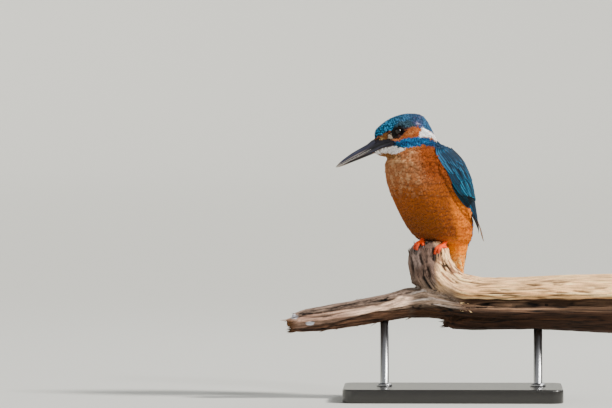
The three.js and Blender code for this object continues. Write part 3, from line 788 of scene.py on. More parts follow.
def coat(
    name, slot, where, shape, spacing, length, width, lift, finish, turn_spread, seed, size_spread=0.2,
):
    """Grows one kind of feather where it belongs. Sizes in millimetres, each a number or one a vertex."""
    ground = shown(name, skin_mesh.copy())
    # What shows of a feather is its outer part, so it takes the colour of the place that part covers.
    covered = ahead_of if np.mean(length) < 4.5 else ahead_of[ahead_of]
    # The colours are kept by face, so that no feather is a blend of two markings.
    starts = read(ground.data.polygons, "loop_start", 1, np.int32)
    first_vertex = read(ground.data.loops, "vertex_index", 1, np.int32)[starts]
    for label, values in (("colour", colour), ("edge", edge)):
        ground.data.attributes.remove(ground.data.attributes[label])
        keep(ground.data, label, "FLOAT_COLOR", values[covered[first_vertex]], "FACE")
    on_ground = {
        "grow": where, "length": length * MM, "width": width * MM, "lift": lift * MM, "bend": bend / MM,
        "tip": tip[covered], "up": up, "lie": lie,
    }
    for label, values in on_ground.items():
        keep(ground.data, label, "FLOAT_VECTOR" if label in ("up", "lie") else "FLOAT", values)
    modifier = ground.modifiers.new("coat", "NODES")
    modifier.node_group = coat_tree
    for label, value in (
        ("Vane", shape), ("Spacing", spacing * MM), ("Turn Spread", turn_spread),
        ("Size Spread", size_spread), ("Seed", seed), ("Material", finish),
    ):
        modifier[coat_inputs[label].identifier] = value
    mesh = evaluated(ground)
    # Each feather has its own small patch of the bake map, at its root's place on the unwrap.
    patch_size = 0.003
    spread = unwrapped(read(mesh.attributes["root"].data, "vector", 3) / MM)
    low, high = spread.min(0), spread.max(0)
    across, along = (read(mesh.attributes[label].data, "value") for label in ("across", "along"))
    in_patch = np.column_stack([0.4 * across, along - 0.5]) * patch_size
    bake_map(mesh, 0.005 + 0.985 * (spread - low) / (high - low) + in_patch)
    for label in ("root", *on_ground):
        if label in mesh.attributes and label != "tip":
            mesh.attributes.remove(mesh.attributes[label])
    mesh.shade_smooth()
    piece = shown(name, mesh)
    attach(piece, "root")


bare = ramp(from_eye, 3.3, 3.9) * ramp(from_bill, 1.0, 2.5) * (1 - gape)
blue_head = np.clip(head_share * bare * ramp(ragged_z - crown, -0.6, 0.2), 0, 1)
face = np.clip(head_share * bare * (1 - blue_head), 0, 1) * ((x > -58.2) | (z > 183))
crown_size = 1 + 0.25 * ramp(x, -40, -16)
face_length = 2.2 + 1.0 * ramp(x, -40, -20)
breast = (body_share > 0.5) & (side + 3 * fleck < 138)
breast_lift = 1.5 - 0.7 * ramp(wing_share, 0.2, 0.7)
by_wing_tip = ramp(side, 96, 106) * ramp(-z, -146, -138) * ramp(z, 122, 128) * (wing_share < 0.2)
breast_lift = breast_lift - 0.6 * by_wing_tip
breast_low, belly_low, vent_low = 156, 126, 91
vent_length = 6.8 - 3.2 * ramp(-z, -100, -92)
# Name, slot, where, vane, spacing, length, width, lift, material, spread of turns, seed and, where it
# isn't the usual one, spread of sizes.
for settings in (
    ("crown_feathers", "head_plumage", blue_head > 0.5, scale_vane,
     0.78, 2.6 * crown_size, 1.4 * crown_size, 0.72, blue_plumage, 0.1, 11, 0.1),
    ("face_feathers", "head_plumage", face > 0.3, hair_vane,
     0.62, face_length, 0.95, 0.62, soft_plumage, 0.16, 12),
    ("breast_feathers", "breast_plumage", breast & (z > breast_low), barb_vane,
     1.0, 6.0, 2.5, breast_lift, soft_plumage, 0.14, 13),
    ("belly_feathers", "breast_plumage", breast & (z <= breast_low) & (z > belly_low), barb_vane,
     1.0, 6.6, 2.5, breast_lift, soft_plumage, 0.14, 14),
    ("vent_feathers", "breast_plumage", breast & (z <= belly_low) & (z > vent_low), barb_vane,
     1.0, vent_length, 2.4, 1.5, soft_plumage, 0.14, 17),
    ("back_feathers", "wing_plumage", (body_share > 0.5) & (side >= 118), scale_vane,
     1.15, 5.5, 2.4, 1.3, blue_plumage, 0.12, 15),
    ("shoulder_feathers", "wing_plumage", (wing > 0.5) & (z > 160), scale_vane,
     1.5, 4.4, 2.9, 0.85, spotted_plumage, 0.1, 16),
):
    coat(*settings)

# --- Wing and tail feathers ---
# The long feathers. Each has a stiff shaft and two flat webs, an outer one edged in blue or green and
# a blackish inner one. In the folded wing they lie like shingles, the innermost on top, and the
# rows of coverts lie over their roots.

rng = np.random.default_rng(7)
wing_solid, body_solid = surface_of(merged_copy(wings)), surface_of(merged_copy(flesh))


def eased(rows, at):
    """Values at places along a table of [place, value, value ...], eased from row to row."""
    rows = np.array(rows, float)
    slopes = np.gradient(rows[:, 1:], rows[:, 0], axis=0)
    flat = np.diff(rows[:, 1:], axis=0)
    turning = np.vstack([np.zeros(rows.shape[1] - 1), flat[:-1] * flat[1:], np.zeros(rows.shape[1] - 1)]) < 0
    slopes[turning] = 0
    at = np.clip(np.atleast_1d(at), rows[0, 0], rows[-1, 0])
    i = np.clip(np.searchsorted(rows[:, 0], at, "right") - 1, 0, len(rows) - 2)
    span = (rows[i + 1, 0] - rows[i, 0])[:, None]
    t = (at[:, None] - rows[i, 0][:, None]) / span
    start, end = rows[i, 1:], rows[i + 1, 1:]
    return (
        start + (end - start) * t * t * (3 - 2 * t)
        + slopes[i] * span * t * (1 - t) ** 2
        + slopes[i + 1] * span * t * t * (t - 1)
    )


# The folded wing's outline: height, front edge and back edge as angles round the trunk.
wing_outline = [
    [116.5, 143, 151], [121.5, 129, 154], [128.5, 115, 155.5], [136, 105, 157.5], [145, 95, 159],
    [156, 83, 158], [168, 78, 155], [179, 73, 147], [185, 84, 134], [187, 98, 122],
]


def on_wing(height, share, side):
    """Places on the folded wing's outer face, by height and by share of its breadth from the front."""
    front, back = eased(wing_outline, height).T
    turns = np.radians(side * (front + share * (back - front)))
    middles = body_place + forward * trunk_middle(height)[:, None]
    middles[:, 2] = height
    ways = np.cos(turns)[:, None] * forward + np.sin(turns)[:, None] * left
    reach = 70.0
    radii = []
    for middle, way in zip(middles, ways):
        hit = wing_solid.ray_cast(Vector(middle + reach * way), Vector(-way), reach)[3]
        radii.append(np.nan if hit is None else reach - hit)
    radii = np.array(radii)
    known = ~np.isnan(radii)
    radii = np.interp(np.arange(len(radii)), np.flatnonzero(known), radii[known])
    radii = np.convolve(np.pad(radii, 2, "edge"), np.ones(5) / 5, "valid")
    return middles + ways * radii[:, None], ways


def on_tail(height, aside, side):
    """Places on the tail's upper face, by height and distance to the left of its middle."""
    starts = body_place - 60 * forward + side * aside[:, None] * left
    starts[:, 2] = height
    found = []
    for start in starts:
        hit = body_solid.ray_cast(Vector(start), Vector(forward), 80)[0]
        found.append(np.array(hit) if hit else found[-1])
    return np.array(found), np.tile(-forward, (len(height), 1))


# Stiff feather: smoother and glossier than the soft coat, with barbs running out from the shaft.
flight, tree, shader = material("flight_feather")
base = add(tree, "ShaderNodeAttribute", {"attribute_name": "colour"})
barb = add(tree, "ShaderNodeAttribute", {"attribute_name": "barb"}, output="Fac")
barbs = add(
    tree, "ShaderNodeTexNoise", {"noise_dimensions": "1D"}, {"W": barb, "Scale": 2.6, "Detail": 2.0},
)
value = add(tree, "ShaderNodeMapRange", None, {
    "Value": barbs, "From Min": 0.3, "From Max": 0.7, "To Min": 0.7, "To Max": 1.3,
})
tinted = add(tree, "ShaderNodeHueSaturation", None, {"Color": base, "Value": value})
wire(tree, shader, {"Base Color": tinted, "Roughness": 0.65, "Specular IOR Level": 0.07})

# A long feather has six places across it at each station: five on its upper side, from the edge of
# the inner web to that of the outer one, and one under the shaft.
stations = np.array([0, 0.08, 0.2, 0.34, 0.48, 0.62, 0.74, 0.84, 0.91, 0.96, 0.985])
across = np.array([-1, -0.4, 0.2, 0.6, 1, 0.0])
sunk = np.array([-1.1, -0.25, 0.6, 0.0, -1.1, -0.9]) * 0.12
# The same for each of its vertices, with the two ends last.
web_at = np.append(np.tile(across, len(stations)), [0, 0])
run_at = np.append(np.repeat(stations, len(across)), [0, 1])
in_cell = np.column_stack([0.5 + 0.44 * web_at, 0.04 + 0.9 * run_at])
in_cell[5:-2:6, 1] += 0.02


def long_feather(number, places, ways, lift, half, roundness, shades, hand):
    """One feather along places, raised by lift, with its outer web ahead for the wing's hand."""
    run = unit(np.gradient(places, axis=0))
    beside = unit(np.cross(run, ways)) * hand
    normal = unit(np.cross(beside, run)) * hand
    widths = half * (0.45 + 0.55 * ramp(stations, 0, 0.5)) * (1 - ramp(stations, 1 - roundness, 1.12)) ** 0.6
    aside = np.where(across < 0, 0.8, 1.15) * across * widths[:, None]
    raised = lift - aside * aside / 52 - 0.8 * (1 - ramp(stations, 0, 0.35))[:, None] + sunk
    rings = places[:, None] + beside[:, None] * aside[:, :, None] + normal[:, None] * raised[:, :, None]
    first = places[0] - run[0] * 0.2 + normal[0] * (lift - 0.95)
    last = places[-1] + run[-1] * 0.25 * half + normal[-1] * lift
    shade = shades(run_at, web_at)
    shade[:, :3] *= rng.uniform(0.75, 1.25)
    made = clad(lofted("feather", rings, first, last), flight, shade)
    length = np.linalg.norm(np.diff(places, axis=0), axis=1).sum()
    return keep(made, "barb", "FLOAT", run_at * length - 1.1 * half * np.abs(web_at) + 40 * number)


def webs(inner, outer, rim=None, rim_from=0.6, end=None, end_from=0.7):
    """Colours over a long feather: dark inner web, outer web with a bright rim, and a darker end."""
    inner, outer, rim = (np.array(linear(code)) for code in (inner, outer, rim or outer))

    def shades(s, q):
        found = inner + (outer - inner) * ramp(q, -0.1, 0.3)[:, None]
        found = found + (rim - found) * (ramp(q, rim_from, rim_from + 0.25) * ramp(s, 0.1, 0.4))[:, None]
        if end:
            darkened = 0.9 * ramp(s, end_from - 0.15, end_from + 0.1)
            found = found + (linear(end) - found) * darkened[:, None]
        return found

    return shades


# Rows of feathers: how many, the roots' heights and shares of the wing's breadth for the first and
# the last, the tips' too, half width, lift of the first and of each next one, roundness of the tip,
# how unevenly they end, and the colours by the share of the row.
wing_rows = [
    # Primaries, from the wing's front edge.
    (8, [(152, 156), (0.05, 0.3)], [(121.5, 131), (0.5, 0.86)], 2.9, -0.5, 0.06, 0.3, 0,
     lambda t: webs("#0c0a09", "#122432", "#1c4058", 0.6, "#1e120b", 0.5 + 0.2 * t)),
    # Secondaries and the inner ones that lie on top of them at the back.
    (15, [(160, 172), (0.12, 0.85)], [(131, 139), (0.4, 0.93)], 2.5, -0.35, 0.045, 0.2, 0,
     lambda t: webs("#04090d", "#0c1e2c", "#2a90cc", 0.62, "#122638", 0.78)),
    # Black coverts over the primaries' roots, with a greenish rim.
    (7, [(161, 163), (0.02, 0.3)], [(141, 145), (0.05, 0.36)], 2.3, 0.2, 0.03, 0.3, 0,
     lambda t: webs("#030405", "#05080b", "#114458", 0.7)),
    # Greater and middle coverts, duller along the wing's front edge.
    (16, [(167, 174), (0.04, 0.82)], [(151, 144), (0.1, 0.88)], 2.1, 0.42, 0.028, 0.3, 0.9,
     lambda t: webs("#030c14", "#0c1c2a", "#3fb4e6" if t > 0.15 else "#2a6c8c", 0.55)),
    (16, [(174, 180), (0.04, 0.82)], [(159, 160), (0.08, 0.84)], 2.0, 0.6, 0.028, 0.35, 1.6,
     lambda t: webs("#06121c", "#122738", "#3c9cd0" if t > 0.15 else "#27597a", 0.55)),
    # Lesser coverts, in two short rows up to the shoulder.
    (14, [(180, 183), (0.03, 0.8)], [(166.5, 167.5), (0.05, 0.84)], 1.8, 0.75, 0.02, 0.4, 3.2,
     lambda t: webs("#0a1925", "#183248", "#3c8cba", 0.5)),
    (14, [(184.5, 185), (0.04, 0.8)], [(173.5, 174.5), (0.04, 0.82)], 1.6, 0.85, 0.02, 0.4, 3.2,
     lambda t: webs("#0d2030", "#1b3a54", "#3c86b4", 0.5)),
    # The long feathers of the shoulder lie along the wing's back edge: azure ones round a black one.
    (3, [(184, 183), (0.62, 0.78)], [(150, 153), (0.82, 0.9)], 1.8, 1.15, 0.06, 0.25, 0,
     lambda t: webs("#052036", "#0a3450", "#36b8f4", 0.5)),
    (1, [(184, 184), (0.84, 0.84)], [(150, 150), (0.95, 0.95)], 1.7, 1.3, 0.06, 0.25, 0,
     lambda t: webs("#040507", "#050608")),
    (2, [(183, 181), (0.93, 0.97)], [(146, 142), (0.99, 1.0)], 1.7, 1.1, 0.06, 0.25, 0,
     lambda t: webs("#0a1c38", "#14386c", "#3a94e0", 0.5)),
]
wing_feathers, tail_feathers = [], []
for hand in (1, -1):
    for count, roots, tips, half, lift, step, roundness, uneven, shades_at in wing_rows:
        for i in range(count):
            t = i / max(1, count - 1)
            h0, v0 = (a + t * (b - a) for a, b in roots)
            h1, v1 = (a + t * (b - a) for a, b in tips)
            h1 += uneven * rng.uniform(-1, 1)
            heights = h0 + stations * (h1 - h0) * (1 + 0.004 * rng.normal())
            shares = v0 + (v1 - v0) * (0.35 * stations + 0.65 * stations**1.6)
            places, ways = on_wing(heights, np.clip(shares, 0.0, 1.0), hand)
            half_width = half * (1 + 0.03 * rng.normal())
            wing_feathers.append(long_feather(
                len(wing_feathers), places, ways, lift + step * i, half_width, roundness, shades_at(t), hand
            ))

# A loose brown feather that hangs away from the left wing's point.
start = on_wing(np.array([130.0]), np.array([0.4]), 1)[0][0]
hang = start + np.outer(stations * 15, [0.25, 0.0, -0.97])
facing = np.tile([0.5, -0.85, 0.2], (len(stations), 1))
brown = webs("#4a3424", "#7c5c40")
wing_feathers.append(long_feather(len(wing_feathers), hang, facing, 0.2, 0.6, 0.4, brown, 1))

# The tail: twelve short feathers, blue above, the middle pair on top.
tail_root, tail_end = 113, 88.6
tail_blue = webs("#0c1626", "#174a86", end="#122c50", end_from=0.9)
for hand in (1, -1):
    for i in range(6):
        heights = tail_root + stations * (tail_end + 0.5 * i - tail_root)
        places, ways = on_tail(heights, 0.8 + i * (1.35 - 0.45 * stations), hand)
        lift = 0.15 - 0.12 * i
        tail_feathers.append(
            long_feather(len(tail_feathers), places, ways, lift, 2.6, 0.12, tail_blue, -hand)
        )

# Each feather has its own cell of the bake map, which has so many cells to a side.
for name, slot, cells, feathers in (
    ("wing_feathers", "wing_plumage", 14, wing_feathers),
    ("tail_feathers", "tail_plumage", 4, tail_feathers),
):
    mesh = joined(name, feathers)
    number = np.repeat(np.arange(len(feathers)), len(in_cell))
    corner = np.column_stack([number % cells, number // cells])
    bake_map(mesh, (corner + np.tile(in_cell, (len(feathers), 1))) / cells)
    piece = shown(name, mesh)
    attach(piece, "root")

# --- Eyes and lids ---
# Dark brown eyes deep in the head, with a clear bulge in front of the pupil. A rim of bare blackish
# skin closes round each, thicker above. The lids are part of the skin.

# The eye's wet surface over its dark iris.
eye_surface, tree, shader = material("wet_dark_eye")
base = add(tree, "ShaderNodeAttribute", {"attribute_name": "colour"})
wire(tree, shader, {"Base Color": base, "Roughness": 0.04, "IOR": 1.4})

pupil, iris, white_of_eye = linear("#020202"), linear("#150a06"), linear("#070505")
pupil_edge, iris_edge = 30, 50  # degrees from the eye's axis
lid_radius, lid_out = 2.66, 1.98
lids, balls = [], []
for centre in eyes:
    way_out = unit(np.array([-0.08, math.copysign(1, centre[1] - head_side), 0.05]))
    way_up = unit(np.array([0, 0, 1.0]) - way_out * way_out[2])
    way_front = unit(np.array([-1.0, 0, 0]) + way_out * way_out[0])
    from_axis = np.radians(np.linspace(3, 177, 44))
    radii = eye_reach - 0.1 + 0.28 * ramp(-np.degrees(from_axis), -46, -12)
    around = np.radians(np.arange(0, 360, 9))
    beside = [math.cos(a) * way_front + math.sin(a) * way_up for a in around]
    rings = [
        [centre + r * (math.cos(t) * way_out + math.sin(t) * way) for way in beside]
        for t, r in zip(from_axis, radii)
    ]
    ball = lofted("eye", rings, centre + radii[0] * way_out, centre - radii[-1] * way_out)
    shade = [
        pupil if t < pupil_edge else iris if t < iris_edge else white_of_eye
        for t in np.degrees(from_axis).repeat(len(around))
    ]
    balls.append(clad(ball, eye_surface, [*shade, pupil, white_of_eye]))
    # The lid: a rim in the plane where the eye comes out of its socket, drawn out a little in front.
    rim = []
    for a in np.radians(np.arange(0, 360, 5)):
        way = math.cos(a) * way_front + math.sin(a) * way_up
        corner = 0.3 * max(0.0, math.cos(a)) ** 6 + 0.16 * max(0.0, -math.cos(a)) ** 6
        thick = 0.36 + 0.14 * max(0.0, math.sin(a)) + 0.03 * math.sin(26 * a)
        middle = centre + way_out * (lid_out - 0.5 * corner) + way * (lid_radius + corner)
        rim.append([
            middle + thick * (math.cos(b) * way + math.sin(b) * way_out)
            for b in np.radians(np.arange(0, 360, 30))
        ])
    lids.append(clad(lofted("lid", rim), bare_skin, linear("#0d0a09")))
eye_piece = shown("eyes", joined("eyes", balls))
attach(eye_piece, "root")
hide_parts("eye_left", "eye_right")

# --- Bill ---
# A dagger of dark horn in two halves that meet along the mouth, whose line is painted black as shade.
# The upper half is dark slate with a blue grey sheen painted along its side, a pale streak over its
# cutting edge and a slit nostril at its root, and the lower one is browner.

bill_dip = math.radians(27.6)
bill_point = np.array([-85.2, head_side, 170.0])
bill_line = [  # distance from the point, height of culmen, mouth and keel, half width
    [0, 0.35, 0, -0.3, 0.35], [2.5, 1.45, 0, -1, 1], [6, 2.35, 0, -1.6, 1.6], [11, 3.25, -0.05, -2.1, 2.3],
    [16, 3.85, -0.15, -2.7, 2.95], [22, 4.1, -0.2, -3.3, 3.6], [28, 4.4, -0.2, -3.9, 4.4],
    [32.5, 5.3, -0.25, -4.25, 5.2], [35, 5.2, -0.4, -4.4, 5.8], [38, 2.4, -0.8, -4.6, 6.8],
    [41, 1, -1.4, -4.7, 7.8], [44.5, -0.6, -2.2, -4.6, 8.8],
]
sections = np.concatenate([np.linspace(0.1, 4, 12), np.linspace(4.5, 44.2, 92)])
culmen, mouth, keel, half_width = eased(bill_line, sections).T


def in_bill(distance, aside, height):
    """A place in the bill's own directions, in the shared frame."""
    return bill_point + np.column_stack([
        distance * math.cos(bill_dip) - height * math.sin(bill_dip),
        aside,
        distance * math.sin(bill_dip) + height * math.cos(bill_dip),
    ])


def blended(stops, at):
    """Colours along stops of [place, hex code], at places."""
    places = [stop[0] for stop in stops]
    codes = np.array([linear(stop[1]) for stop in stops])
    return np.column_stack([np.interp(at, places, codes[:, c]) for c in range(4)])


# Horn: a hard half-gloss surface with its shades stored along and across the bill.
horn, tree, shader = material("dark_bill_horn")
base = add(tree, "ShaderNodeAttribute", {"attribute_name": "colour"})
wire(tree, shader, {"Base Color": base, "Roughness": 0.42, "Specular IOR Level": 0.35})


def mandible(name, far_line, way, fullness, middle, root, point, root_range, point_range):
    """Half the bill: rings from the mouth's line out to its far line and back across.

    Its shades run from the mouth to the far line, in stops for its middle, its root and its point."""
    rings, colours = [], []
    turns = np.linspace(0, math.pi, 41)
    back = np.linspace(-0.8, 0.8, 7)
    round_out = np.sign(np.cos(turns)) * np.abs(np.cos(turns)) ** (2 / fullness)
    rise = np.sin(turns) ** (2 / fullness)
    for distance, far, near_line, half in zip(sections, far_line, mouth, half_width):
        near_line = near_line + 0.09 * way
        if way * (far - near_line) < 0.12:
            far = near_line + way * 0.12
        height = near_line + (far - near_line) * rise
        groove = 0.1 * np.exp(-(((rise - 0.5) / 0.13) ** 2))
        groove = groove * ramp(distance, 5, 12) * ramp(-distance, -38, -30)
        slit = np.zeros(len(turns))
        if way > 0:
            on_slit = ((distance - 34.2) / 1.7) ** 2 + ((height - 2.3 - 0.2 * (distance - 34.2)) / 0.42) ** 2
            slit = 0.75 * np.exp(-(on_slit**1.5))
        aside = half * round_out - np.sign(round_out) * (groove + slit)
        flat = near_line + way * 0.06 * (1 - back**2)
        rings.append(in_bill(distance, np.append(aside, half * back), np.append(height, flat)))
        shade, at_root, at_point = (
            blended(stops, np.append(rise, 0 * back)) for stops in (middle, root, point)
        )
        shade += (at_root - shade) * ramp(distance, *root_range)
        shade += (at_point - shade) * ramp(-distance, *point_range)
        # The nostril's slit is painted dark, as shade in its opening.
        colours.append(shade * (1 - np.minimum(1, 1.6 * np.append(slit, 0 * back)))[:, None])
    first = in_bill(-0.25, np.zeros(1), np.zeros(1) + 0.05 * way)[0]
    last = in_bill(sections[-1] + 0.2, np.zeros(1), np.array([(far + near_line) / 2]))[0]
    mesh = lofted(name, rings, first, last)
    everywhere = np.vstack(colours + [colours[0][:1], colours[-1][:1]])
    px, py, pz = (read(mesh.vertices, "co", 3) / MM - bill_point).T
    run = px * math.cos(bill_dip) + pz * math.sin(bill_dip)
    everywhere[:, :3] *= 1 + 0.3 * lumps(run / 9, py / 0.8, pz / 0.8 - run / 1.7)[:, None]
    return clad(mesh, horn, everywhere)


# In these stops the black at the mouth is painted shade between the halves, and the blue grey band along the
# upper half's side is a painted sheen.
for name, node, *shape in (
    ("bill_upper_horn", "bill_upper", culmen, 1, 1.75,
     [(0, "#060505"), (0.14, "#0c0a0a"), (0.24, "#8f8482"), (0.36, "#4c484e"), (0.5, "#262632"),
      (0.72, "#3c4058"), (0.92, "#181820"), (1, "#16161e")],
     [(0, "#121016"), (0.3, "#22202a"), (0.6, "#3a3a4c"), (1, "#22222e")],
     [(0, "#5c4c46"), (0.5, "#94887e"), (1, "#6c665e")], (19, 29), (-6, -1.5)),
    ("bill_lower_horn", "bill_lower", keel, -1, 1.9,
     [(0, "#060505"), (0.1, "#0a0808"), (0.17, "#9a8e8a"), (0.25, "#54484a"), (0.36, "#1a1214"),
      (1, "#120c0c")],
     [(0, "#0e0c10"), (0.25, "#2a2a36"), (0.45, "#3c3e50"), (0.7, "#1c1a22"), (1, "#141014")],
     [(0, "#6a5c54"), (0.5, "#a89c90"), (1, "#75675e")], (21, 30), (-11, -2)),
):
    half_bill = shown(name, mandible(name, *shape))
    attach(half_bill, "root")
    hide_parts(node)

# --- Legs and feet, part of the skin ---
# Very short legs with soft scaly skin, orange red all over. The outer and middle toes are joined for
# most of their length. Cross plates run over the top of each toe, and small bumps lie under it.

leg_mesh = remeshed(merged_copy(["leg_left", "leg_right"], 0.2), 0.21, 3)
leg_places = read(leg_mesh.vertices, "co", 3) / MM
leg_up = unit(read(leg_mesh.vertex_normals, "vector", 3))
ankles = np.array([[-7.4, -4.4, 112.8], [-22.4, -1.4, 115.8]])
from_ankle = np.linalg.norm(leg_places[:, None] - ankles, axis=2).min(1)
plate = 0.95  # length of one cross plate
ridge = np.abs(((from_ankle / plate) % 1) - 0.5) * 2
groove = ramp(ridge, 0.7, 1.0) * ramp(leg_up[:, 2], -0.2, 0.3)
bumps = grained(leg_places, 0.7, 5)
leg_places = leg_places + leg_up * (0.05 * bumps - 0.11 * groove)[:, None]
leg_mesh.vertices.foreach_set("co", (leg_places * MM).ravel())
# Painted shade and light: the grooves between the plates darker, the bumps lighter as highlights, and the
# toes darker towards their ends as shade.
leg_shade = np.array(linear("#ff4a00")) * (1 - 0.55 * groove)[:, None]
for share, code in ((ramp(bumps, 0, 0.6) * 0.4, "#ff8218"), (ramp(from_ankle, 7.6, 9.2) * 0.7, "#7c2c1c")):
    leg_shade += (linear(code) - leg_shade) * share[:, None]
# Soft scaly skin of the feet, with a low gloss.
foot_skin, tree, shader = material("orange_foot_skin")
base = add(tree, "ShaderNodeAttribute", {"attribute_name": "colour"})
wire(tree, shader, {"Base Color": base, "Roughness": 0.5, "Specular IOR Level": 0.18})
clad(leg_mesh, foot_skin, leg_shade)
skin = shown("skin", joined("skin", [skin_mesh, *lids, leg_mesh]))
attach(skin, "root")
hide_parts(*flesh, *wings, "leg_left", "leg_right")

# --- Claws ---
# Small curved claws of blackish horn, four to a foot, with their tips on the wood.

claw_nodes = [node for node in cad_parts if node.startswith("claw")]
claw_working = shown("claws_working", merged_copy(claw_nodes, 0.12))
rounding = claw_working.modifiers.new("rounding", "SUBSURF")
rounding.levels = rounding.render_levels = 2
claw_horn, tree, shader = material("claw_horn")
place = add(tree, "ShaderNodeTexCoord", output="Object")
grain = add(tree, "ShaderNodeTexNoise", None, {"Vector": place, "Scale": 1200.0})
shade = add(tree, "ShaderNodeMix", {"data_type": "RGBA"}, {
    0: grain, 6: linear("#120e0d"), 7: linear("#3a2c26"),
}, 2)
wire(tree, shader, {"Base Color": shade, "Roughness": 0.35})
claws = shown("claws", clad(evaluated(claw_working), claw_horn))
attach(claws, "root")
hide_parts(*claw_nodes)

# --- Perch ---
# A dead branch, grey and split on the broken stub and the left arm, and bleached smooth where the
# sun reaches the right arm, whose top is also painted brighter as if sunlit, above a band and an
# underside painted in shade. Its fibres run up the stub from the right arm, and a second bundle runs
# along under both arms. Grooves and cracks follow them, painted dark as shade in them.

perch_mesh = remeshed(merged_copy(["perch"]), 0.68, 1)
wood = read(perch_mesh.vertices, "co", 3) / MM
wood_up = unit(read(perch_mesh.vertex_normals, "vector", 3))
wx, wy, wz = wood.T
bend_x, bend_z = 14.1, 108.0  # the inner bend's centre, where the stub turns into the right arm
past_x, past_z = np.maximum(bend_x - wx, 0), np.maximum(bend_z - wz, 0)
upper_across = np.hypot(past_x, past_z)
upper_along = np.maximum(wx - bend_x, 0) - np.maximum(wz - bend_z, 0)
upper_along = upper_along - 32 * np.arctan2(past_x, past_z + 1e-6)
middle_x = [-121, -90, -60, -40, -22, 0, 25, 70, 120]
middle_z = [56.4, 59.4, 64.4, 68.4, 71.4, 67.4, 65, 65, 65]
lower_across = wz - np.interp(wx, middle_x, middle_z)
seam = np.interp(wx, [-34, -24, -6, 3, 12, 30, 70, 120], [96, 81.8, 78, 73, 66, 63.5, 64, 64])
seam = np.where(wx < -34, 300, seam)
upper = ramp(wz - seam, -1.5, 1.5)
across_grain = upper_across * upper + (lower_across + 40) * (1 - upper)
along_grain = upper_along * upper + wx * (1 - upper)


def fibred(width, length, seed):
    """Noise drawn out along the fibres: lumps of a width across them and a length along them."""
    return lumps(across_grain / width, wy / width, along_grain / length + seed)


stub = ramp(wz, 82, 92) * ramp(-wx, -9, -2)
left_arm = ramp(-wx, 26, 34)
# Lines where bundles of fibres part: a groove low along both arms, one high on the left arm, and the
# crest of the bleached wood, which stands out over the band beneath it that is painted in shade.
waver = 0.9 * grained(wood, 13, 11) + 0.3 * grained(wood, 4, 12)
beside = ramp(np.abs(wood_up[:, 1]), 0.1, 0.5)
low_line = waver + np.interp(
    wx, [-118, -110, -87, -55, -31, -8, 12, 40, 80, 120], [50, 52.3, 56, 64.2, 67, 67.6, 66, 65.5, 65, 65]
)
high_line = waver + np.interp(wx, [-116, -87, -55, -39], [60.5, 65.8, 69.8, 76])
crest = waver + np.interp(wx, [-34, -30, -24, -6, 8, 20, 60, 120], [120, 96, 81.8, 78, 74.5, 74, 74, 74.3])
low_groove = np.exp(-(((wz - low_line) / 0.8) ** 2)) * beside
high_groove = np.exp(-(((wz - high_line) / 0.8) ** 2)) * beside * ramp(-wx, 38, 46)
ledge = ramp(crest - wz, -0.4, 0.9) * ramp(wz - low_line, -1, 4) * beside * ramp(wx, 2, 14)
sawn = ramp(wood_up[:, 0], 0.7, 0.9) * ramp(wx, 116, 118)
wide, narrow, fine = fibred(3.4, 70, 3.1), fibred(1.7, 34, 8.7), fibred(0.95, 16, 5.2)
cracks = np.exp(-((wide / 0.07) ** 2))
checks = np.exp(-((narrow / 0.1) ** 2))
bleached_and_sunlit = ramp(wz - crest, -0.4, 0.8) * ramp(wx, -2, 10)
rough = (1 - 0.45 * bleached_and_sunlit) * (1 - sawn)
crack_depth = (0.75 + 1.0 * stub) * cracks * ramp(fibred(6, 40, 1.7), -0.25, 0.25) * rough
check_depth = 0.4 * checks * ramp(fibred(4, 22, 6.1), -0.1, 0.3) * rough
groove_depth = 1.1 * low_groove + 0.9 * high_groove

# Deep splits down the stub, and thin drying cracks along the bleached arm and the left arm's top.
wander = grained(wood, 4, 16)
splits = np.zeros(len(wood))


def split(ax, az, bx, bz, half, share=1.0):
    """Opens a crack between two places in x and z, tapered to both ends."""
    global splits
    length = math.hypot(bx - ax, bz - az)
    t = ((wx - ax) * (bx - ax) + (wz - az) * (bz - az)) / length**2
    off = ((wx - ax) * (bz - az) - (wz - az) * (bx - ax)) / length + 0.5 * wander
    found = np.exp(-((off / half) ** 2)) * ramp(t, 0, 0.2) * ramp(-t, -1, -0.6) * beside
    splits = np.maximum(splits, share * found)


for ends in (
    (-14.7, 113, -12, 99), (-24.6, 108, -21.5, 97), (-30.5, 106, -29, 90), (-7, 104, 0, 92),
    (-19, 99, -16, 88),
):
    split(*ends, 0.75)
for _ in range(26):
    ax, az = rng.uniform((14, 76.5), (108, 91))
    split(ax, az, ax + rng.uniform(10, 26), az + rng.uniform(-1, 0.4), 0.5, 0.55)
for _ in range(12):
    ax = rng.uniform(-112, -62)
    az = np.interp(ax, [-112, -87, -55], [63, 69, 73]) + rng.uniform(-1.5, 4)
    split(ax, az, ax + rng.uniform(12, 26), az + rng.uniform(2, 4), 0.55, 0.6)
# Two dried white splashes near the left arm's end.
splashes = np.zeros(len(wood))
for splash_x, splash_z in ((-116, 61), (-104, 56)):
    reach = np.hypot((wx - splash_x) / 3.2, (wz - splash_z) / 1.7) + 0.35 * fine
    splashes = np.maximum(splashes, ramp(-reach, -1.1, -0.8) * ramp(-wy, 0, 1))
swell = (0.35 * wide + 0.22 * narrow + 0.3 * grained(wood, 9, 6)) * rough + 0.1 * fine + 0.25 * splashes
# Under the bend a strip has broken away and left a ragged end.
broken = ramp(-np.hypot((wx + 5) / 5.5, (wz - 55) / 6), -1.4, -0.7)
swell = swell + broken * (2.2 * grained(wood, 3.4, 14) + 1.0 * grained(wood, 1.6, 15) - 0.3)
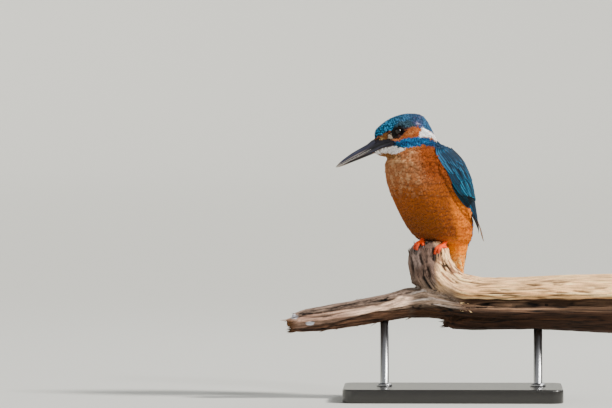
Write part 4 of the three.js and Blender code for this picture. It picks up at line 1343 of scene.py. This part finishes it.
# Drying checks run out from the pith over the sawn end.
pith = wood[sawn > 0.5].mean(0) + np.array([0, 1.5, -3.0])
ring_y, ring_z = wy - pith[1], wz - pith[2]
ring = np.hypot(ring_y, ring_z) * (1 + 0.06 * grained(wood, 16, 13))
turn = np.arctan2(ring_z, ring_y)
end_checks = np.zeros(len(wood))
for number, check_turn in enumerate(np.radians([35, 98, 170, 262])):
    off = np.abs(np.angle(np.exp(1j * (turn - check_turn - 0.1 * np.sin(ring / 3 + number))))) * ring
    end_checks = np.maximum(end_checks, np.exp(-((off / 0.55) ** 2)) * ramp(ring, 1, 5))
end_checks = end_checks * sawn
moved_by = swell - crack_depth - check_depth - groove_depth - 1.5 * ledge - 0.9 * end_checks - 1.2 * splits
wood_moved = wood + wood_up * moved_by[:, None]
perch_mesh.vertices.foreach_set("co", (wood_moved * MM).ravel())
perch_mesh.update()

wood_shade = np.tile(linear("#86705f"), (len(wood), 1))


def stain(share, code):
    """Lays a colour over a share of the wood."""
    global wood_shade
    share = np.clip(share, 0, 1)[:, None]
    wood_shade = wood_shade * (1 - share) + np.array(linear(code)) * share


blotch = grained(wood, 12, 9)
below = ramp(low_line - wz, -0.4, 0.8)
# The left arm: grey brown above its high groove, pale between the grooves, brown below them.
stain(left_arm, "#8d7668")
pale_band = left_arm * (1 - below) * ramp(high_line - wz, -0.6, 0.6)
stain(pale_band * 0.9, "#b8947e")
stain(pale_band * ramp(wx, -84, -62), "#f0caae")
stain(pale_band * ramp(-narrow, -0.1, 0.3) * 0.5, "#8c6654")
stain(left_arm * below, "#6c4c38")
stain(left_arm * below * ramp(fibred(2.2, 12, 2.9), 0.05, 0.3) * 0.7, "#a5765a")
# The fork: smooth grey wood, painted brown as shade under the groove, and the dark stub.
fork = (1 - left_arm) * (1 - upper) * ramp(-wx, -12, 2)
stain(fork, "#7c6858")
stain(fork * ramp(wide, -0.05, 0.25) * 0.8, "#a89c94")
stain(fork * ramp(-narrow, 0.1, 0.35) * 0.7, "#55402f")
stain((1 - left_arm) * below, "#523620")
stain(stub, "#6c554a")
stain(stub * ramp(blotch, 0, 0.4) * 0.7, "#8e7a72")
# The right arm: bleached wood over its crest, painted brighter as if sunlit, and below it a band
# painted in brown shade.
stain(bleached_and_sunlit, "#ffc688")
stain(bleached_and_sunlit * ramp(narrow, 0.0, 0.4) * 0.7, "#ffe0a8")
stain(bleached_and_sunlit * ramp(-narrow, 0.15, 0.4) * 0.5, "#b4784a")
stain(bleached_and_sunlit * ramp(-fine, 0.2, 0.5) * 0.5, "#8c6444")
grain_lines = ramp(-np.abs(fibred(1.9, 60, 9.9)), -0.05, -0.015) * ramp(fibred(7, 26, 12.4), -0.1, 0.15)
stain(bleached_and_sunlit * grain_lines * 0.8, "#7c4c2c")
lit_side = upper * ramp(wx + 2.5 * narrow, -14, -9) * ramp(wz, 76, 90)
stain(lit_side, "#ffcc94")
stain(lit_side * ramp(-wx, -22, -8) * ramp(-fibred(2.2, 14, 7.5), 0.05, 0.25) * 0.85, "#7c4c34")
# Painted shade in the band under the crest.
painted_shade_band = ramp(crest - wz, -0.4, 0.6) * (1 - below) * ramp(wx, -2, 12)
stain(painted_shade_band, "#584030")
stain(painted_shade_band * ramp(narrow, 0.0, 0.35) * 0.7, "#94745a")
stain(painted_shade_band * ramp(-wide, 0.0, 0.3) * 0.7, "#34200f")
# Painted shade: the underside of the fork and the right arm, near black.
under = below * ramp(wx, -18, 6)
stain(under, "#2c1a0c")
stain(under * ramp(fibred(2.4, 30, 4.4), -0.1, 0.4) * 0.6, "#523420")
# Painted shade: faces that look down are darker.
stain(ramp(-wood_up[:, 2], 0.2, 0.8) * 0.55, "#3a2418")
rotten_end = ramp(-wx, 112, 119) * ramp(-wz, -60, -57)
stain(rotten_end, "#5c3a1c")
stain(rotten_end * ramp(fine, -0.1, 0.3) * 0.7, "#22140a")
# The splits and the grooves are painted dark, as shade in them.
stain(np.clip(1.5 * splits, 0, 0.9), "#23160e")
stain(splashes * 0.9, "#d2d6e2")
stain(np.maximum(low_groove * (1 - sawn), high_groove) * 0.75, "#2c1b10")
# The sawn end: yearly rings round the pith, greyed a little, with its checks painted dark as shade.
stain(sawn, "#c29c70")
stain(sawn * ramp(np.sin(2 * math.pi * ring / 1.7), -0.2, 0.9) * 0.55, "#916a44")
stain(sawn * ramp(blotch, -0.1, 0.4) * 0.35, "#8a7c6c")
stain(end_checks, "#38261a")
# Painted shade: the wood darkens with the depth of its cracks, checks and hollows.
hollow = np.clip(1.25 * crack_depth + 1.5 * check_depth + 0.5 * np.maximum(-swell, 0), 0, 0.92)
wood_shade[:, :3] *= (1 - hollow)[:, None] ** 1.5
wood_shade[:, :3] *= (1 + 0.5 * fine * (1 - sawn))[:, None]

# Dry wood: matt, with fine pores, and with fibres darker and lighter than the stored shade.
dry_wood, tree, shader = material("dry_weathered_wood")
shade = add(tree, "ShaderNodeAttribute", {"attribute_name": "colour"})
place = add(tree, "ShaderNodeTexCoord", output="Object")
grain = add(tree, "ShaderNodeAttribute", {"attribute_name": "grain"}, output="Vector")
drawn_out = add(tree, "ShaderNodeVectorMath", {"operation": "MULTIPLY"}, {0: grain, 1: (2.2, 2.2, 0.09)})
for where, scale, contrast in ((place, 900.0, 0.12), (drawn_out, 1.0, 0.45)):
    fibre = add(tree, "ShaderNodeTexNoise", None, {"Vector": where, "Scale": scale, "Detail": 3.0})
    light = add(tree, "ShaderNodeMapRange", None, {
        "Value": fibre, "From Min": 0.3, "From Max": 0.7, "To Min": 1 - contrast, "To Max": 1 + contrast,
    })
    shade = add(tree, "ShaderNodeHueSaturation", None, {"Color": shade, "Value": light})
ridges = add(tree, "ShaderNodeBump", None, {"Height": fibre, "Strength": 0.6, "Distance": 0.0003})
wire(tree, shader, {"Base Color": shade, "Normal": ridges, "Roughness": 0.85, "Specular IOR Level": 0.25})
clad(perch_mesh, dry_wood, wood_shade)
keep(perch_mesh, "grain", "FLOAT_VECTOR", np.column_stack([across_grain, wy, along_grain]))
perch_surface = surface_of(perch_mesh)
wood_near = finder(wood_moved)


def shard(place, way, length, thick, shade):
    """A splinter: a flat pointed sliver of wood, rooted in the perch and lying along a way."""
    way = unit(way)
    flat = unit(np.cross(way, rng.normal(size=3)))
    deep = np.cross(way, flat)
    turns = np.radians([0, 60, 120, 180, 240, 300])
    rings = []
    for s, size in ((0, 0.7), (0.3, 1.0), (0.65, 0.7), (0.88, 0.3)):
        middle = place + way * length * (s - 0.3) + deep * length * 0.12 * s * s
        thickness = size * thick
        rings.append([
            middle + thickness * (math.cos(t) * flat + 0.45 * math.sin(t) * deep) for t in turns
        ])
    end = place + way * length * 0.75 + deep * length * 0.13
    made = lofted("shard", rings, place - way * length * 0.34, end)
    return clad(made, dry_wood, shade * rng.uniform(0.85, 1.3))


# Broken fibres on the stub's top, along the edge between the two bundles, under the bend and at the
# left arm's end: where they stand, which way they point, how many and how long. Some are fresh
# yellow wood, and the rest have the colour of the wood they stand on.
shards = []
for low, high, way, count, longest, fresh in (
    ((-33, -9, 104), (-2, 9, 111), (-0.08, 0, 1), 22, 7, False),
    ((-34, -9, 98), (-29, 4, 107), (-0.1, 0, 1), 14, 9, False),
    ((-5, -12, 96), (4, 8, 106), (-0.6, 0, 1), 14, 7, False),
    ((2, -22, 66), (14, -10, 73), (1, -0.15, -0.35), 12, 6, True),
    ((-24, -20, 76), (2, -10, 81), (1, -0.1, -0.2), 14, 9, False),
    ((-9, -10, 51), (-4, 6, 60), (-0.95, -0.1, -0.12), 16, 7, False),
    ((-122, -8, 44), (-112, 8, 62), (-1, 0, -0.2), 26, 8, False),
    ((-95, -12, 40), (-30, 6, 52), (-0.95, -0.1, -0.15), 22, 8, False),
    ((-80, -8, 70), (-36, 8, 86), (1, -0.1, 0.3), 14, 6, False),
):
    for _ in range(count):
        spot, normal, _, _ = perch_surface.find_nearest(Vector(rng.uniform(low, high)))
        spot, normal = np.array(spot), np.array(normal)
        lean = way + 0.15 * normal + 0.1 * rng.normal(size=3)
        long = longest * rng.uniform(0.5, 1.0)
        shade = np.array(linear("#f4cf98")) if fresh else wood_shade[wood_near.find(spot)[1]]
        thick = rng.uniform(0.5, 1.0) if spot[2] > 90 else rng.uniform(0.3, 0.65)
        shards.append(shard(spot - 0.4 * normal, lean, long, thick, shade))
perch = shown("perch_wood", joined("perch_wood", [perch_mesh, *shards]))
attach(perch, "root")
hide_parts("perch")

# --- Display stand ---
# A slab of wood in black lacquer with two thin steel rods that go up into the branch. Each rod
# stands in a small turned collar.

lacquer, tree, shader = material("black_lacquer")
place = add(tree, "ShaderNodeTexCoord", output="Object")
flow = add(tree, "ShaderNodeTexNoise", None, {"Vector": place, "Scale": 60.0})
shade = add(tree, "ShaderNodeMix", {"data_type": "RGBA"}, {
    0: flow, 6: linear("#1c1b1a"), 7: linear("#242220"),
}, 2)
wire(tree, shader, {"Base Color": shade, "Roughness": 0.32, "Coat Weight": 0.3, "Coat Roughness": 0.2})
slab_low, slab_high = np.array(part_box("stand_base")) / MM
slab_middle, slab_half = (slab_low + slab_high) / 2, (slab_high - slab_low) / 2
slab_top, corner_radius = 10.0, 9.0
rings = []
for inset, height in (
    (0.9, 0), (0.25, 0.25), (0, 0.9), (0, 8.8), (0.15, 9.4), (0.5, 9.8), (1.1, slab_top), (2.2, slab_top),
):
    ring = []
    for turn in np.radians(np.arange(0, 360, 3.75)):
        way = np.array([math.cos(turn), math.sin(turn)])
        core = np.sign(np.round(way, 6)) * (slab_half[:2] - corner_radius)
        ring.append([*(slab_middle[:2] + core + (corner_radius - inset) * way), height])
    rings.append(ring)
slab = lofted("stand_slab", rings, [*slab_middle[:2], 0.0], [*slab_middle[:2], slab_top])
stand = shown("stand_slab", clad(slab, lacquer))
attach(stand, "root")
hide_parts("stand_base")

# Steel brushed round the rods.
steel, tree, shader = material("brushed_steel")
place = add(tree, "ShaderNodeTexCoord", output="Object")
fine_rings = add(tree, "ShaderNodeVectorMath", {"operation": "MULTIPLY"}, {0: place, 1: (20, 20, 2500)})
brushed = add(tree, "ShaderNodeTexNoise", None, {"Vector": fine_rings, "Scale": 1.0})
shade = add(tree, "ShaderNodeMix", {"data_type": "RGBA"}, {
    0: brushed, 6: linear("#8c8d90"), 7: linear("#a8a9ab"),
}, 2)
wire(tree, shader, {"Base Color": shade, "Metallic": 1.0, "Roughness": 0.3})
for node in [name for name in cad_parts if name.startswith("stand_rod")]:
    rod_low, rod_high = np.array(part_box(node)) / MM
    middle = (rod_low + rod_high) / 2
    radius = (rod_high[0] - rod_low[0]) / 2
    # The rod's line from its foot to its top, as how much wider it is and the height.
    rings = []
    for wide_by, height in (
        (0, rod_low[2]), (0, 9.9), (2.2, 9.9), (2.4, 10.1), (2.4, 11.2), (1.9, 11.8), (0.3, 12.2),
        (0, 12.6), (0, rod_high[2] - 0.4),
    ):
        size = radius + wide_by
        rings.append([
            [middle[0] + size * math.cos(t), middle[1] + size * math.sin(t), height]
            for t in np.radians(np.arange(0, 360, 9))
        ])
    foot, top = [*middle[:2], rod_low[2]], [*middle[:2], rod_high[2]]
    rod = shown(node + "_steel", clad(lofted(node + "_steel", rings, foot, top), steel))
    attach(rod, "root")
    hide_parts(node)

# --- Floor, light and camera ---
# A wide round floor of pale paper that curves up all round, far behind the camera, in even studio
# light: a soft warm key from the upper right, a fill, a rim and a small lamp that gleams in the eye.

paper, tree, shader = material("pale_studio_floor")
wire(tree, shader, {"Base Color": linear("#d2d3ce"), "Roughness": 0.9, "Specular IOR Level": 0.1})
curve = [(7 + 3 * math.sin(t), 3 - 3 * math.cos(t)) for t in np.linspace(0, math.pi / 2, 14)]
profile = [(3.0, 0.0), *curve, (10.0, 5.0)]
turns = np.radians(np.arange(0, 360, 3))
floor_verts = [(0, 0, 0)] + [(r * math.cos(t), r * math.sin(t), h) for r, h in profile for t in turns]
count = len(turns)
floor_faces = [(0, 1 + i, 1 + (i + 1) % count) for i in range(count)]
for k in range(len(profile) - 1):
    for i in range(count):
        a, b = 1 + k * count + i, 1 + k * count + (i + 1) % count
        floor_faces.append((a, a + count, b + count, b))
floor_mesh = bpy.data.meshes.new("floor")
floor_mesh.from_pydata(floor_verts, [], floor_faces)
floor = shown("floor", clad(floor_mesh, paper))

world = bpy.data.worlds.new("studio")
world.use_nodes = True
wire(world.node_tree, world.node_tree.nodes["Background"], {0: (0.95, 0.97, 1.0, 1), 1: 0.39})
bpy.context.scene.world = world
subject = Vector((-0.02, 0.0, 0.13))
for name, kind, place, size, power in (
    ("key", "SUN", (1.0, -0.4, 0.95), math.radians(9), 5.9),
    ("fill", "AREA", (-0.9, -1.4, 0.5), 2.2, 4.6),
    ("rim", "AREA", (0.5, 0.9, 0.7), 0.4, 3.0),
    ("catchlight", "AREA", (0.8, -1.1, 0.95), 0.16, 8.0),
):
    lamp = bpy.data.lights.new(name, kind)
    if kind == "SUN":
        lamp.angle = size
        lamp.color = (1.0, 0.96, 0.9)
    else:
        lamp.size = size
    lamp.energy = power
    light = bpy.data.objects.new(name, lamp)
    light.location = place
    light.rotation_euler = (subject - Vector(place)).to_track_quat("-Z", "Y").to_euler()
    bpy.context.scene.collection.objects.link(light)

camera = bpy.data.objects.new("camera", bpy.data.cameras.new("camera"))
view_width = 446.8 * MM  # what the frame takes in at the bird
view_middle = Vector((-107.3, 0, 143)) * MM
far, eye_height, rise = 4.0, 0.11, math.radians(2.0)
camera.location = Vector((0, -far * math.cos(rise), eye_height + far * math.sin(rise)))
camera.rotation_euler = (view_middle - camera.location).to_track_quat("-Z", "Y").to_euler()
camera.data.sensor_width = 36
camera.data.lens = camera.data.sensor_width * (view_middle - camera.location).length / view_width
camera.data.clip_end = 50
bpy.context.scene.collection.objects.link(camera)
bpy.context.scene.camera = camera
